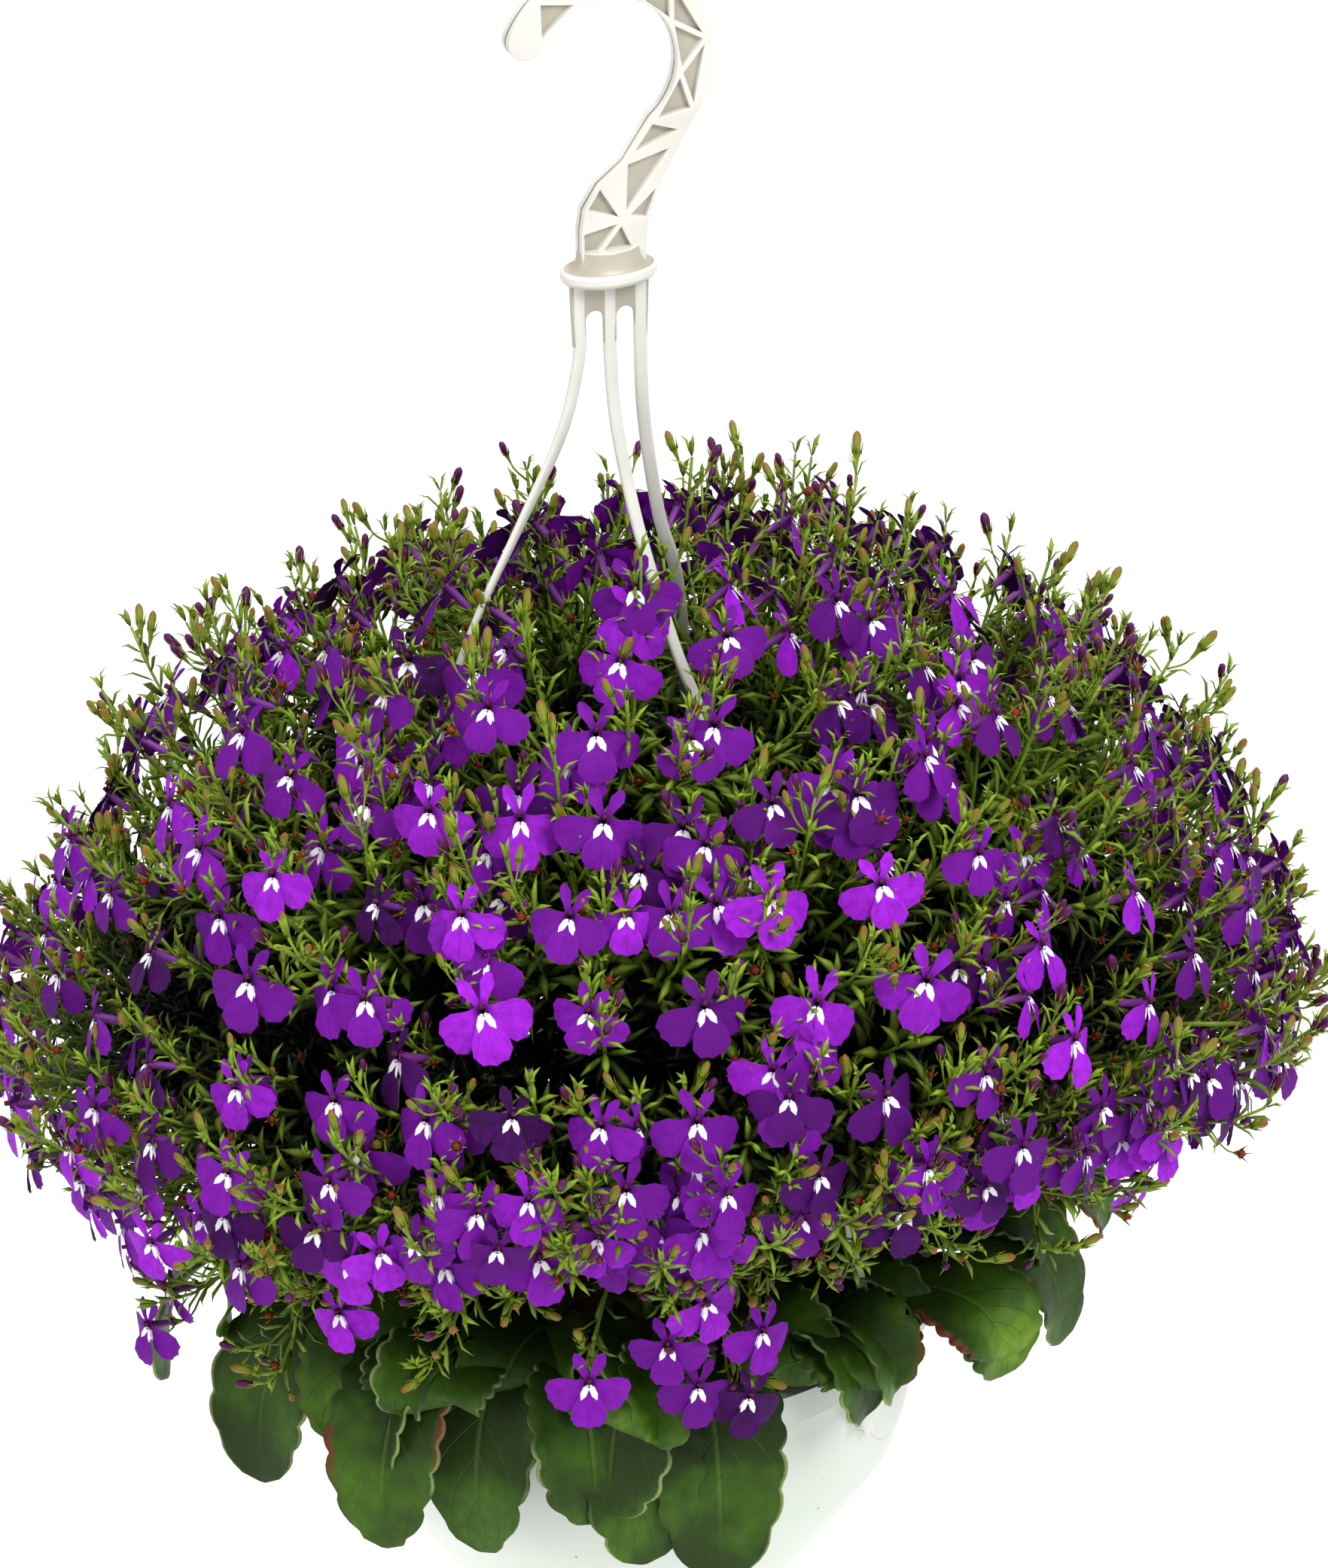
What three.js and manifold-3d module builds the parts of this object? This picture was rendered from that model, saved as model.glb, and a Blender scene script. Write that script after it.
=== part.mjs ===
// A lobelia in a white plastic hanging pot, in millimetres, +Z up.
// The origin is the centre of the pot's underside. The hook lies in the XZ plane.
import * as THREE from "three";
import { mergeVertices } from "three/addons/utils/BufferGeometryUtils.js";
import Module from "manifold-3d";

// ---- Driving dimensions -------------------------------------------------------------------

const RIM_RADIUS = 88.6; // outside of the pot's rim band
const POT_HEIGHT = 110; // from the tray's underside to the top of the rim
const BAND_HEIGHT = 9;
const TRAY_HEIGHT = 26.8; // the drip tray clipped under the pot
const ROUND_STEPS = 30; // sides of every turned shape

const SOIL_TOP = 100;
const ROOT_DEPTH = 12; // how far stems and leaf stalks stand in the soil

const HOOK_CENTRE = [-0.6, 469.6]; // x and z of the hook's round seat
const HOOK_INNER = 19.8;
const HOOK_BEAM = 10;
const HOOK_THICKNESS = 5;
const HOOK_WEB = 1.4;
const FLANGE_HEIGHT = 410; // underside of the oval flange below the hook
const STRAP_TOP = 396; // where the three straps leave the web
const STRAP_WIDTH = 3.6;
const STRAP_THICKNESS = 2;
const STRAP_SPREAD = 8.7; // sideways distance between the straps at the web
const STRAP_SEAT = 86.2; // radius at which a strap drops through the rim
const FIT_GAP = 0.35; // between pieces that are clipped together

const DOME_CENTRE = [7.4, -3, 182];
const DOME_RADIUS = 182; // to the middles of the outermost blooms
const DOME_RISE = 148; // above the widest level
const DOME_DROP = 116; // below it
const DOME_LEAN = [0.046, -0.019]; // rise of the dome's far side along x and y
const DOME_FRONT = -112; // degrees to the side where the mound is shallowest
const DOME_FLATTEN = 0.18; // how much shallower it is there than at its wide sides
const DOME_LIFT = 28; // how far its underside is drawn up over the rim
const THIN_SIDE = -85; // degrees to the side where that underside is thinnest
const THIN_PULL = 0.07; // how much further in it is drawn there
const THIN_LIFT = 18; // and how much further up
const FREE_HEIGHT = [4, 25]; // over the soil: where this shaping of the mound sets in
const FREE_REACH = [5, 35]; // past the leaves' roots: likewise
const UNDERSIDE = [25, 135]; // over the soil: where the underside goes over into the top
const TOP_ROW = 7; // degrees from the top to the first row of blooms
const ROW_STEP = 10.4;

const BLOOM_SIZE = 11.4; // from the throat to the end of a lower lobe
const STEM_RADIUS = 1.5; // to the corners of its three sides
const STALK_WIDTH = 2.6; // of a broad leaf
const LEAFLET_LENGTH = 15;

// Each ring of flowering sprays: how many in each third, and where its stems are rooted.
const RINGS = [
  { perThird: 1, rootRadius: 13, lift: 150, reach: 62 },
  { perThird: 3, rootRadius: 31, lift: 108, reach: 74 },
  { perThird: 4, rootRadius: 47, lift: 84, reach: 84 },
  { perThird: 4, rootRadius: 61, lift: 78, reach: 70 },
];
const ROWS_PER_RING = 3;
const BLOOMS_PER_ROW = [1, 3, 5, 9, 9, 9, 12, 12, 12, 12, 12, 12]; // in each third of the dome
const STRAP_ANGLES = [-60, 60, 180];
const TOP_THIRDS = [-60, 30, 180]; // the top rows keep clear of the strap that leans over

// Broad leaves at the rim: angle, side sweep, tip radius, tip height, blade width, twist.
const BROAD_LEAVES = [
  [-170, -4, 114, 70, 31, 10],
  [-151, 4, 114, 74, 31, -14],
  [-133, -3, 98, 70, 34, 8],
  [-113, 4, 100, 72, 32, -10],
  [-94, 4, 101, 64, 34, 12],
  [-75, 3, 102, 104, 26, -22],
  [-50, -2, 120, 112, 28, 26],
  [-31, 4, 124, 86, 30, -16],
  [-10, -4, 138, 104, 27, 18],
  [11, 3, 120, 76, 31, -10],
  [31, -4, 128, 96, 28, 16],
  [51, 2, 108, 72, 30, -8],
  [70, 4, 124, 94, 29, 20],
  [91, -3, 106, 70, 33, -12],
  [112, 3, 124, 92, 28, 14],
  [133, -4, 106, 70, 32, -9],
  [160, 4, 130, 80, 29, 18],
];

// ---- Small tools --------------------------------------------------------------------------

const wasm = await Module();
wasm.setup();

const radians = THREE.MathUtils.degToRad;
const mix = THREE.MathUtils.lerp;

// A repeatable number from 0 to 1 for a whole number.
function chance(seed) {
  const value = Math.sin(seed * 12.9898) * 43758.5453;
  return value - Math.floor(value);
}

// The same number spread evenly from -range to range.
function jitter(seed, range) {
  return (2 * chance(seed) - 1) * range;
}

function turnBetween(a, b) {
  return Math.abs(THREE.MathUtils.euclideanModulo(a - b + 180, 360) - 180);
}

function polar(radius, degrees, height) {
  const angle = radians(degrees);
  return new THREE.Vector3(radius * Math.cos(angle), radius * Math.sin(angle), height);
}

function solidOf(geometry) {
  const bare = geometry.clone();
  bare.deleteAttribute("normal");
  bare.deleteAttribute("uv");
  const merged = mergeVertices(bare, 1e-3);
  return new wasm.Manifold(
    new wasm.Mesh({
      numProp: 3,
      vertProperties: merged.attributes.position.array,
      triVerts: new Uint32Array(merged.index.array),
    }),
  );
}

function geometryOf(solid) {
  const mesh = solid.getMesh();
  const geometry = new THREE.BufferGeometry();
  geometry.setAttribute("position", new THREE.BufferAttribute(mesh.vertProperties, 3));
  geometry.setIndex(new THREE.BufferAttribute(mesh.triVerts, 1));
  return geometry;
}

function fuse(geometries) {
  return geometryOf(geometries.map(solidOf).reduce((whole, piece) => whole.add(piece)));
}

function cutFrom(geometry, tools) {
  const tool = tools.map(solidOf).reduce((whole, piece) => whole.add(piece));
  return geometryOf(solidOf(geometry).subtract(tool));
}

function turned(profile, steps = ROUND_STEPS) {
  const points = profile.map(([radius, height]) => new THREE.Vector2(radius, height));
  return new THREE.LatheGeometry(points, steps).rotateX(Math.PI / 2);
}

// A flat outline in x and z, given its thickness along y.
function plate(outline, thickness) {
  const shape = new THREE.Shape(outline.map(([x, z]) => new THREE.Vector2(x, z)));
  const geometry = new THREE.ExtrudeGeometry(shape, { depth: thickness, bevelEnabled: false });
  return geometry.translate(0, 0, -thickness / 2).rotateX(Math.PI / 2);
}

function arc(centre, radius, from, to, steps) {
  return Array.from({ length: steps + 1 }, (_, step) => {
    const angle = radians(mix(from, to, step / steps));
    return [centre[0] + radius * Math.cos(angle), centre[1] + radius * Math.sin(angle)];
  });
}

// A bar or blade drawn out along a curve. shape(t, across) gives half the width, half the
// thickness and the lift of the section's middle, with across from -1 to 1 over the width.
// Both faces are split into triangles alike, so that a thin waved blade never crosses itself.
function drawnBlade(curve, sideAt, shape, lengthSteps, widthSteps = 1) {
  const corners = [];
  for (const face of [1, -1]) {
    for (let step = 0; step <= lengthSteps; step++) {
      const t = step / lengthSteps;
      const along = curve.getTangentAt(t);
      const side = sideAt(t).addScaledVector(along, -sideAt(t).dot(along)).normalize();
      const up = new THREE.Vector3().crossVectors(along, side);
      for (let column = 0; column <= widthSteps; column++) {
        const across = (2 * column) / widthSteps - 1;
        const { halfWidth, halfThickness, lift = 0 } = shape(t, across);
        const corner = curve.getPointAt(t).addScaledVector(side, across * halfWidth);
        corners.push(corner.addScaledVector(up, face * halfThickness + lift));
      }
    }
  }
  const row = widthSteps + 1;
  const below = corners.length / 2;
  const faces = [];
  const quad = (a, b, c, d) => faces.push(a, b, c, a, c, d);
  for (let step = 0; step < lengthSteps; step++) {
    const start = step * row;
    for (let i = start; i < start + widthSteps; i++) {
      quad(i, i + row, i + row + 1, i + 1);
      faces.push(i + below, i + below + row + 1, i + below + row);
      faces.push(i + below, i + below + 1, i + below + row + 1);
    }
    const end = start + widthSteps;
    quad(start, start + below, start + row + below, start + row);
    quad(end, end + row, end + row + below, end + below);
  }
  const last = lengthSteps * row;
  for (let i = 0; i < widthSteps; i++) {
    quad(i, i + 1, i + 1 + below, i + below);
    quad(last + i, last + i + below, last + i + 1 + below, last + i + 1);
  }
  return new THREE.BufferGeometry().setFromPoints(corners).setIndex(faces);
}

// Straight stretches between marks along a smooth curve.
class JointedCurve extends THREE.Curve {
  constructor(path, marks) {
    super();
    this.joints = marks.map((mark) => path.getPointAt(mark));
    this.headings = marks.map((mark) => path.getTangentAt(mark));
  }

  jointAt(t) {
    return Math.round(t * (this.joints.length - 1));
  }

  getPointAt(t) {
    return this.joints[this.jointAt(t)].clone();
  }

  getTangentAt(t) {
    return this.headings[this.jointAt(t)].clone();
  }
}

function material(colour, roughness) {
  return new THREE.MeshStandardMaterial({ color: colour, roughness, metalness: 0 });
}

const potPlastic = material(0xe9eee7, 0.38);
const hangerPlastic = material(0xf3f1ea, 0.34);
const compost = material(0x3a2a1e, 0.95);
const broadLeafGreen = material(0x2f5a22, 0.5);
const petalViolet = material(0x6f1fb4, 0.55);

const object = new THREE.Group();

function addPiece(name, geometry, surface) {
  const piece = new THREE.Mesh(geometry, surface);
  piece.name = name;
  object.add(piece);
}

// ---- Pot, drip tray and compost -----------------------------------------------------------

const bandBottom = POT_HEIGHT - BAND_HEIGHT;

const POT_PROFILE = [
  [0, 14],
  [46, 14],
  [51.4, TRAY_HEIGHT + FIT_GAP],
  [56.4, TRAY_HEIGHT + FIT_GAP],
  [68, 43],
  [78, 59],
  [83.4, 82],
  [84.8, bandBottom],
  [RIM_RADIUS, bandBottom],
  [RIM_RADIUS, POT_HEIGHT],
  [84.4, POT_HEIGHT],
  [81.6, 88],
  [75.6, 60],
  [50, 28.8],
  [44.4, 16.2],
  [0, 16.2],
];
const TRAY_PROFILE = [
  [0, 0],
  [41, 0],
  [54.6, TRAY_HEIGHT],
  [53, TRAY_HEIGHT],
  [40, 1.8],
  [0, 1.8],
];
const COMPOST_PROFILE = [
  [0, 16.8],
  [43.8, 16.8],
  [49.2, 29.4],
  [74.8, 60.4],
  [81.2, SOIL_TOP - 3],
  [77, SOIL_TOP],
  [0, SOIL_TOP],
];

const LUG = { width: 14, inner: 83.6, outer: 89.6, bottom: 89 };
const SLOT = { width: STRAP_WIDTH + 1.2, depth: 2.6 };
const SEAT_TOP = POT_HEIGHT + 2; // below this a strap stands upright in its slot
const BARB_HEIGHT = 5;

function standingBox(radius, degrees, depth, width, bottom, top) {
  return new THREE.BoxGeometry(depth, width, top - bottom)
    .translate(radius, 0, (bottom + top) / 2)
    .rotateZ(radians(degrees));
}

function makePot() {
  const lugs = STRAP_ANGLES.map((angle) =>
    standingBox(
      (LUG.inner + LUG.outer) / 2,
      angle,
      LUG.outer - LUG.inner,
      LUG.width,
      LUG.bottom,
      bandBottom + 1,
    ),
  );
  const slots = STRAP_ANGLES.map((angle) =>
    standingBox(STRAP_SEAT, angle, SLOT.depth, SLOT.width, LUG.bottom - 1, POT_HEIGHT + 1),
  );
  const drains = [45, 135, 225, 315].map((angle) => {
    const spot = polar(30, angle, 15);
    return new THREE.CylinderGeometry(4, 4, 6, 6).rotateX(Math.PI / 2).translate(...spot);
  });
  return cutFrom(fuse([turned(POT_PROFILE), ...lugs]), [...slots, ...drains]);
}

addPiece("pot", makePot(), potPlastic);
addPiece("drip_tray", turned(TRAY_PROFILE), potPlastic);

// Every stem and stalk adds the plain hole that it stands in.
const rootHoles = [];

function addRootHole(radius, degrees, size) {
  const spot = polar(radius, degrees, SOIL_TOP);
  rootHoles.push(
    new THREE.CylinderGeometry(size, size, 2 * (ROOT_DEPTH + 1), 3)
      .rotateX(Math.PI / 2)
      .rotateZ(radians(degrees - 90))
      .translate(spot.x, spot.y, spot.z),
  );
}

// ---- Hanger -------------------------------------------------------------------------------

const hookOuter = HOOK_INNER + HOOK_BEAM;
const HOOK_TIP = 188; // degrees, on the side away from the neck
const NECK = { left: -8.4, right: 9.6, bottom: 413, shoulder: 428 };

// Corners of the neck's braced part, from the seat's lower end to the flange.
const NECK_INSIDE = [
  [4, 443],
  [-3.2, 437.5],
  [-7.4, 431],
  [NECK.left, NECK.shoulder - 3],
  [NECK.left, NECK.bottom],
];
const NECK_OUTSIDE = [
  [NECK.right, NECK.bottom],
  [NECK.right + 0.6, 425],
  [14.6, 437],
];

function makeHookOutline() {
  const outside = arc(HOOK_CENTRE, hookOuter, HOOK_TIP - 2, -38, 15);
  const inside = arc(HOOK_CENTRE, HOOK_INNER, -52, HOOK_TIP, 15);
  return [...outside, ...[...NECK_OUTSIDE].reverse(), ...[...NECK_INSIDE].reverse(), ...inside];
}

// Triangular pockets that leave a zigzag of ribs between the two edges.
function makePockets() {
  const edge = 1.7;
  const step = 23;
  const knots = Array.from({ length: 11 }, (_, knot) => {
    const inset = knot % 2 ? hookOuter - edge : HOOK_INNER + edge;
    return new THREE.Vector2(HOOK_CENTRE[0], HOOK_CENTRE[1]).add(
      new THREE.Vector2(inset, 0).rotateAround(new THREE.Vector2(), radians(178 - step * knot)),
    );
  });
  const corners = [...NECK_INSIDE, ...NECK_OUTSIDE, [18.4, 446.5]].map(
    ([x, z]) => new THREE.Vector2(x, z),
  );
  const hub = new THREE.Vector2(3.2, 427);
  const zigzag = knots.slice(2).map((knot, i) => [knots[i], knots[i + 1], knot]);
  const fan = [
    [0, 8],
    [1, 2],
    [3, 4],
    [4, 5],
    [6, 7],
  ].map(([from, to]) => [hub, corners[from], corners[to]]);
  return [...zigzag, ...fan].map((triangle) => {
    const middle = new THREE.Vector2();
    triangle.forEach((corner) => middle.addScaledVector(corner, 1 / 3));
    return triangle.map((corner) => corner.clone().lerp(middle, 0.26).toArray());
  });
}

function makeHook() {
  const depth = HOOK_THICKNESS - HOOK_WEB;
  const pockets = makePockets().flatMap((outline) => {
    const pocket = plate(outline, depth);
    const shift = HOOK_THICKNESS / 2;
    return [pocket.clone().translate(0, shift, 0), pocket.translate(0, -shift, 0)];
  });
  return cutFrom(plate(makeHookOutline(), HOOK_THICKNESS), pockets);
}

function makeFlange() {
  const profile = [
    [0, 0],
    [12.4, 0],
    [13.4, 1.4],
    [12.8, 4],
    [9.4, 8.4],
    [0, 9.2],
  ];
  return turned(profile, 14).scale(1, 0.62, 1).translate(0, 0, FLANGE_HEIGHT);
}

// The web below the flange, with an arch between each two straps.
function makeWeb() {
  const half = STRAP_WIDTH / 2;
  const archRadius = STRAP_SPREAD / 2 - half;
  const archTop = STRAP_TOP + 3;
  const right = arc([STRAP_SPREAD / 2, archTop], archRadius, 0, 180, 4);
  const left = arc([-STRAP_SPREAD / 2, archTop], archRadius, 0, 180, 4);
  const legs = STRAP_TOP + FIT_GAP;
  const edge = STRAP_SPREAD + half;
  return plate(
    [
      [edge + 0.8, FLANGE_HEIGHT + 2],
      [-edge - 0.8, FLANGE_HEIGHT + 2],
      [-edge, legs],
      [-STRAP_SPREAD + half, legs],
      ...[...left].reverse(),
      [-half, legs],
      [half, legs],
      ...[...right].reverse(),
      [STRAP_SPREAD - half, legs],
      [edge, legs],
    ],
    STRAP_THICKNESS + 0.4,
  );
}

addPiece("hook", fuse([makeHook(), makeFlange(), makeWeb()]), hangerPlastic);

// The middles of the straps, from the web down to the rim.
const STRAP_ROUTES = {
  strap_front: [
    [0, 0, STRAP_TOP],
    [0, 0, STRAP_TOP - 7],
    [0.9, -1.8, 368],
    [4.4, -7.8, 340],
    [10.2, -17.6, 309],
    [17, -29.4, 280],
    [30, -52, 205],
    [38.2, -66.2, 154],
  ],
  strap_left: [
    [-STRAP_SPREAD, 0, STRAP_TOP],
    [-STRAP_SPREAD, 0, STRAP_TOP - 7],
    [-14, 0, 368],
    [-27, 0, 342],
    [-42.5, 0, 311],
    [-60, 0, 262],
    [-75, 0, 200],
    [-83.4, 0, 145],
  ],
  strap_back: [
    [STRAP_SPREAD, 0, STRAP_TOP],
    [STRAP_SPREAD, 0, STRAP_TOP - 7],
    [10.8, 3.2, 366],
    [17.4, 9.6, 334],
    [26, 18, 309],
    [37.4, 40, 256],
    [43.2, 60, 196],
    [43.9, 71.4, 142],
  ],
};

function makeStrap(route, seatAngle) {
  const barbEnd = LUG.bottom - BARB_HEIGHT;
  const seat = [POT_HEIGHT + 12, SEAT_TOP, LUG.bottom, barbEnd].map((height) =>
    polar(STRAP_SEAT, seatAngle, height),
  );
  const path = new THREE.CatmullRomCurve3([
    ...route.map((point) => new THREE.Vector3(...point)),
    ...seat,
  ]);
  const length = path.getLength();
  const barb = [1 - (BARB_HEIGHT - FIT_GAP) / length, 1 - 1.4 / length, 1];
  const upright = 1 - (SEAT_TOP - barbEnd) / length;
  const marks = [0, 0.09, 0.17, 0.26, 0.36, 0.48, 0.6, 0.72, 0.83, upright, ...barb];
  const jointed = new JointedCurve(path, marks);
  const steps = marks.length - 1;
  const flatSide = new THREE.Vector3(1, 0, 0);
  const seatSide = polar(1, seatAngle + 90, 0);
  if (flatSide.dot(seatSide) < 0) seatSide.negate();
  const shape = (t) => {
    const joint = jointed.jointAt(t);
    const flare = joint === steps - 1 ? 1.4 : 0;
    const thickness = joint > 8 ? STRAP_THICKNESS - 0.4 : STRAP_THICKNESS;
    return { halfWidth: STRAP_WIDTH / 2 + flare, halfThickness: thickness / 2 };
  };
  const sideAt = (t) => flatSide.clone().lerp(seatSide, Math.min(1, 2 * marks[jointed.jointAt(t)]));
  return drawnBlade(jointed, sideAt, shape, steps);
}

addPiece("strap_front", makeStrap(STRAP_ROUTES.strap_front, -60), hangerPlastic);
addPiece("strap_left", makeStrap(STRAP_ROUTES.strap_left, 180), hangerPlastic);
addPiece("strap_back", makeStrap(STRAP_ROUTES.strap_back, 60), hangerPlastic);

// ---- Broad leaves over the rim ------------------------------------------------------------

const LEAF_ROOT = 70;
const STALK_SHARE = 0.36; // of the leaf's whole length
const LEAF_STEPS = 8;

function makeBroadLeaf([angle, sweep, tipRadius, tipHeight, width, twist], index) {
  const root = polar(LEAF_ROOT, angle, SOIL_TOP - ROOT_DEPTH);
  addRootHole(LEAF_ROOT + 0.8, angle, 2 * STALK_WIDTH);
  const path = new THREE.CubicBezierCurve3(
    root,
    polar(LEAF_ROOT, angle, 140),
    polar(tipRadius + 8, angle + sweep, 134),
    polar(tipRadius, angle + sweep, tipHeight),
  );
  const sideAt = (t) => {
    const side = polar(1, angle + sweep + 90, 0);
    return side.applyAxisAngle(path.getTangentAt(t), radians(twist * t));
  };
  return drawnBlade(
    path,
    sideAt,
    (t, across) => {
      const blade = Math.max(0, (t - STALK_SHARE) / (1 - STALK_SHARE));
      const full = Math.sin(Math.PI * Math.pow(blade, 0.85)) ** 0.8;
      const scallop = blade > 0 && Math.round(t * LEAF_STEPS) % 2 ? 0.86 : 1;
      const spread = (full * width * scallop) / 2;
      const wave = jitter(index * 40 + Math.round(t * LEAF_STEPS) * 2 + across, 2.2);
      return {
        halfWidth: Math.max(STALK_WIDTH / 2, spread),
        halfThickness: blade > 0 ? 0.5 : STALK_WIDTH / 2,
        lift: Math.abs(across) * full * (2.6 + wave),
      };
    },
    LEAF_STEPS,
    2,
  );
}

BROAD_LEAVES.forEach((leaf, index) => {
  addPiece(`broad_leaf_${index + 1}`, makeBroadLeaf(leaf, index), broadLeafGreen);
});

// ---- Flowering sprays ---------------------------------------------------------------------

// A point on the dome: degrees down from its top, degrees round it, and depth below it.
function domePoint(down, round, depth) {
  const tilt = radians(down);
  const height = Math.cos(tilt) * (down < 90 ? DOME_RISE : DOME_DROP);
  const flat = polar(DOME_RADIUS * Math.sin(tilt) - depth * Math.sin(tilt), round, 0);
  flat.x += DOME_CENTRE[0];
  flat.y += DOME_CENTRE[1];
  const lean = flat.x * DOME_LEAN[0] + flat.y * DOME_LEAN[1];
  flat.z = DOME_CENTRE[2] + height - depth * Math.cos(tilt) + lean;
  return flat;
}

// Draws the round dome to the mound's own shape: shallower from front to back, and with its
// underside lifted. What stands in the soil stays where it is.
function settle(point) {
  const { smoothstep } = THREE.MathUtils;
  const angle = Math.atan2(point.y, point.x);
  const high = smoothstep(point.z - SOIL_TOP, ...FREE_HEIGHT);
  const wide = smoothstep(Math.hypot(point.x, point.y) - LEAF_ROOT, ...FREE_REACH);
  const free = Math.max(high, wide);
  const below = 1 - smoothstep(point.z - SOIL_TOP, ...UNDERSIDE);
  const thin = Math.max(0, Math.cos(angle - radians(THIN_SIDE))) ** 2 * below;
  const flat = DOME_FLATTEN * Math.cos(angle - radians(DOME_FRONT)) ** 2;
  const squash = 1 - (flat + THIN_PULL * thin) * free;
  const lift = (DOME_LIFT * below + THIN_LIFT * thin) * free;
  return new THREE.Vector3(point.x * squash, point.y * squash, point.z + lift);
}

function domeNormal(down, round) {
  const tilt = radians(down);
  const rise = down < 90 ? DOME_RISE : DOME_DROP;
  const normal = polar(Math.sin(tilt) * rise, round, Math.cos(tilt) * DOME_RADIUS);
  return normal.normalize();
}

function thirdOf(row, third) {
  const starts = row < ROWS_PER_RING - 1 ? TOP_THIRDS : STRAP_ANGLES;
  const start = starts[third];
  const next = third < 2 ? starts[third + 1] : starts[0] + 360;
  return { start, span: next - start };
}

// Where the blooms of one row of a spray sit.
function bloomPlaces(ring, third, place, row) {
  const inThird = BLOOMS_PER_ROW[row];
  const perSpray = inThird / RINGS[ring].perThird;
  const { start, span } = thirdOf(row, third);
  const stagger = ring === 0 ? 0 : row % 2 ? 0.12 : -0.12;
  return Array.from({ length: perSpray }, (_, i) => {
    const slot = place * perSpray + i;
    const seed = row * 100 + third * 30 + slot;
    const round = start + (span / inThird) * (slot + 0.5 + stagger + jitter(seed + 0.05, 0.06));
    const down = TOP_ROW + ROW_STEP * row + jitter(seed + 0.3, 0.9);
    const depth = 9 * chance(seed + 0.6) - 3;
    return { down, round, depth, seed };
  });
}

// A bloom's outline, round from the middle of its lower lip: degrees and share of its size.
const BLOOM_OUTLINE = [
  [0, 1],
  [42, 0.44],
  [82, 1],
  [150, 0.74],
  [180, 0.26],
  [210, 0.74],
  [278, 1],
  [318, 0.44],
];

// A closed body that grows by rings of three corners, and from its own faces.
class Growth {
  corners = [];
  faces = [];

  addCorner(point) {
    return this.corners.push(point) - 1;
  }

  // A ring round a spot, with half its width along side and half its depth along face.
  addRing(spot, side, face, halfWidth, halfDepth) {
    return ringPoints(spot, side, face, halfWidth, halfDepth).map((at) => this.addCorner(at));
  }

  // Joins two rings along the shorter diagonals and gives the six new faces.
  bridge(from, to) {
    const reach = (a, b) => settle(this.corners[a]).distanceTo(settle(this.corners[b]));
    const sides = [0, 1, 2].flatMap((i) => {
      const next = (i + 1) % 3;
      const [a, b, c, d] = [from[i], from[next], to[next], to[i]];
      return reach(a, c) < reach(b, d) ? [[a, b, c], [a, c, d]] : [[a, b, d], [b, c, d]];
    });
    this.faces.push(...sides);
    return sides;
  }

  closeAt(ring, point) {
    const tip = this.addCorner(point);
    ring.forEach((corner, i) => this.faces.push([corner, ring[(i + 1) % 3], tip]));
  }

  // Puts a new ring beyond a face in its place.
  growFrom(face, points) {
    this.faces.splice(this.faces.indexOf(face), 1);
    const ring = points.map((point) => this.addCorner(point));
    this.bridge(face, ring);
    return ring;
  }

  geometry() {
    const geometry = new THREE.BufferGeometry().setFromPoints(this.corners.map(settle));
    return geometry.setIndex(this.faces.flat());
  }
}

function ringPoints(spot, side, face, halfWidth, halfDepth) {
  return [90, 210, 330].map((degrees) =>
    spot
      .clone()
      .addScaledVector(side, halfWidth * Math.cos(radians(degrees)))
      .addScaledVector(face, halfDepth * Math.sin(radians(degrees))),
  );
}

// Three corners round a spot, turned to twist least from the face that they grow from, and
// flattened along one direction for a leaf.
function ringLike(plant, face, spot, normal, radius, flat) {
  const corners = face.map((corner) => plant.corners[corner]);
  const middle = new THREE.Vector3();
  corners.forEach((corner) => middle.addScaledVector(corner, 1 / 3));
  const way = spot.clone().sub(middle).normalize();
  const u = new THREE.Vector3(0, 0, 1).cross(normal).normalize();
  const v = new THREE.Vector3().crossVectors(normal, u);
  const armAt = (angle) =>
    u.clone().multiplyScalar(Math.cos(angle)).addScaledVector(v, Math.sin(angle));
  const fit = (roll) =>
    corners.reduce((sum, corner, i) => {
      const out = corner.clone().sub(middle).projectOnPlane(way);
      return sum + out.dot(armAt(roll + radians(120 * i)));
    }, 0);
  const roll = Math.atan2(fit(Math.PI / 2), fit(0));
  return [0, 120, 240].map((turn) => {
    const corner = armAt(roll + radians(turn)).multiplyScalar(radius);
    if (flat) corner.addScaledVector(flat, -0.55 * corner.dot(flat));
    return corner.add(spot);
  });
}

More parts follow.
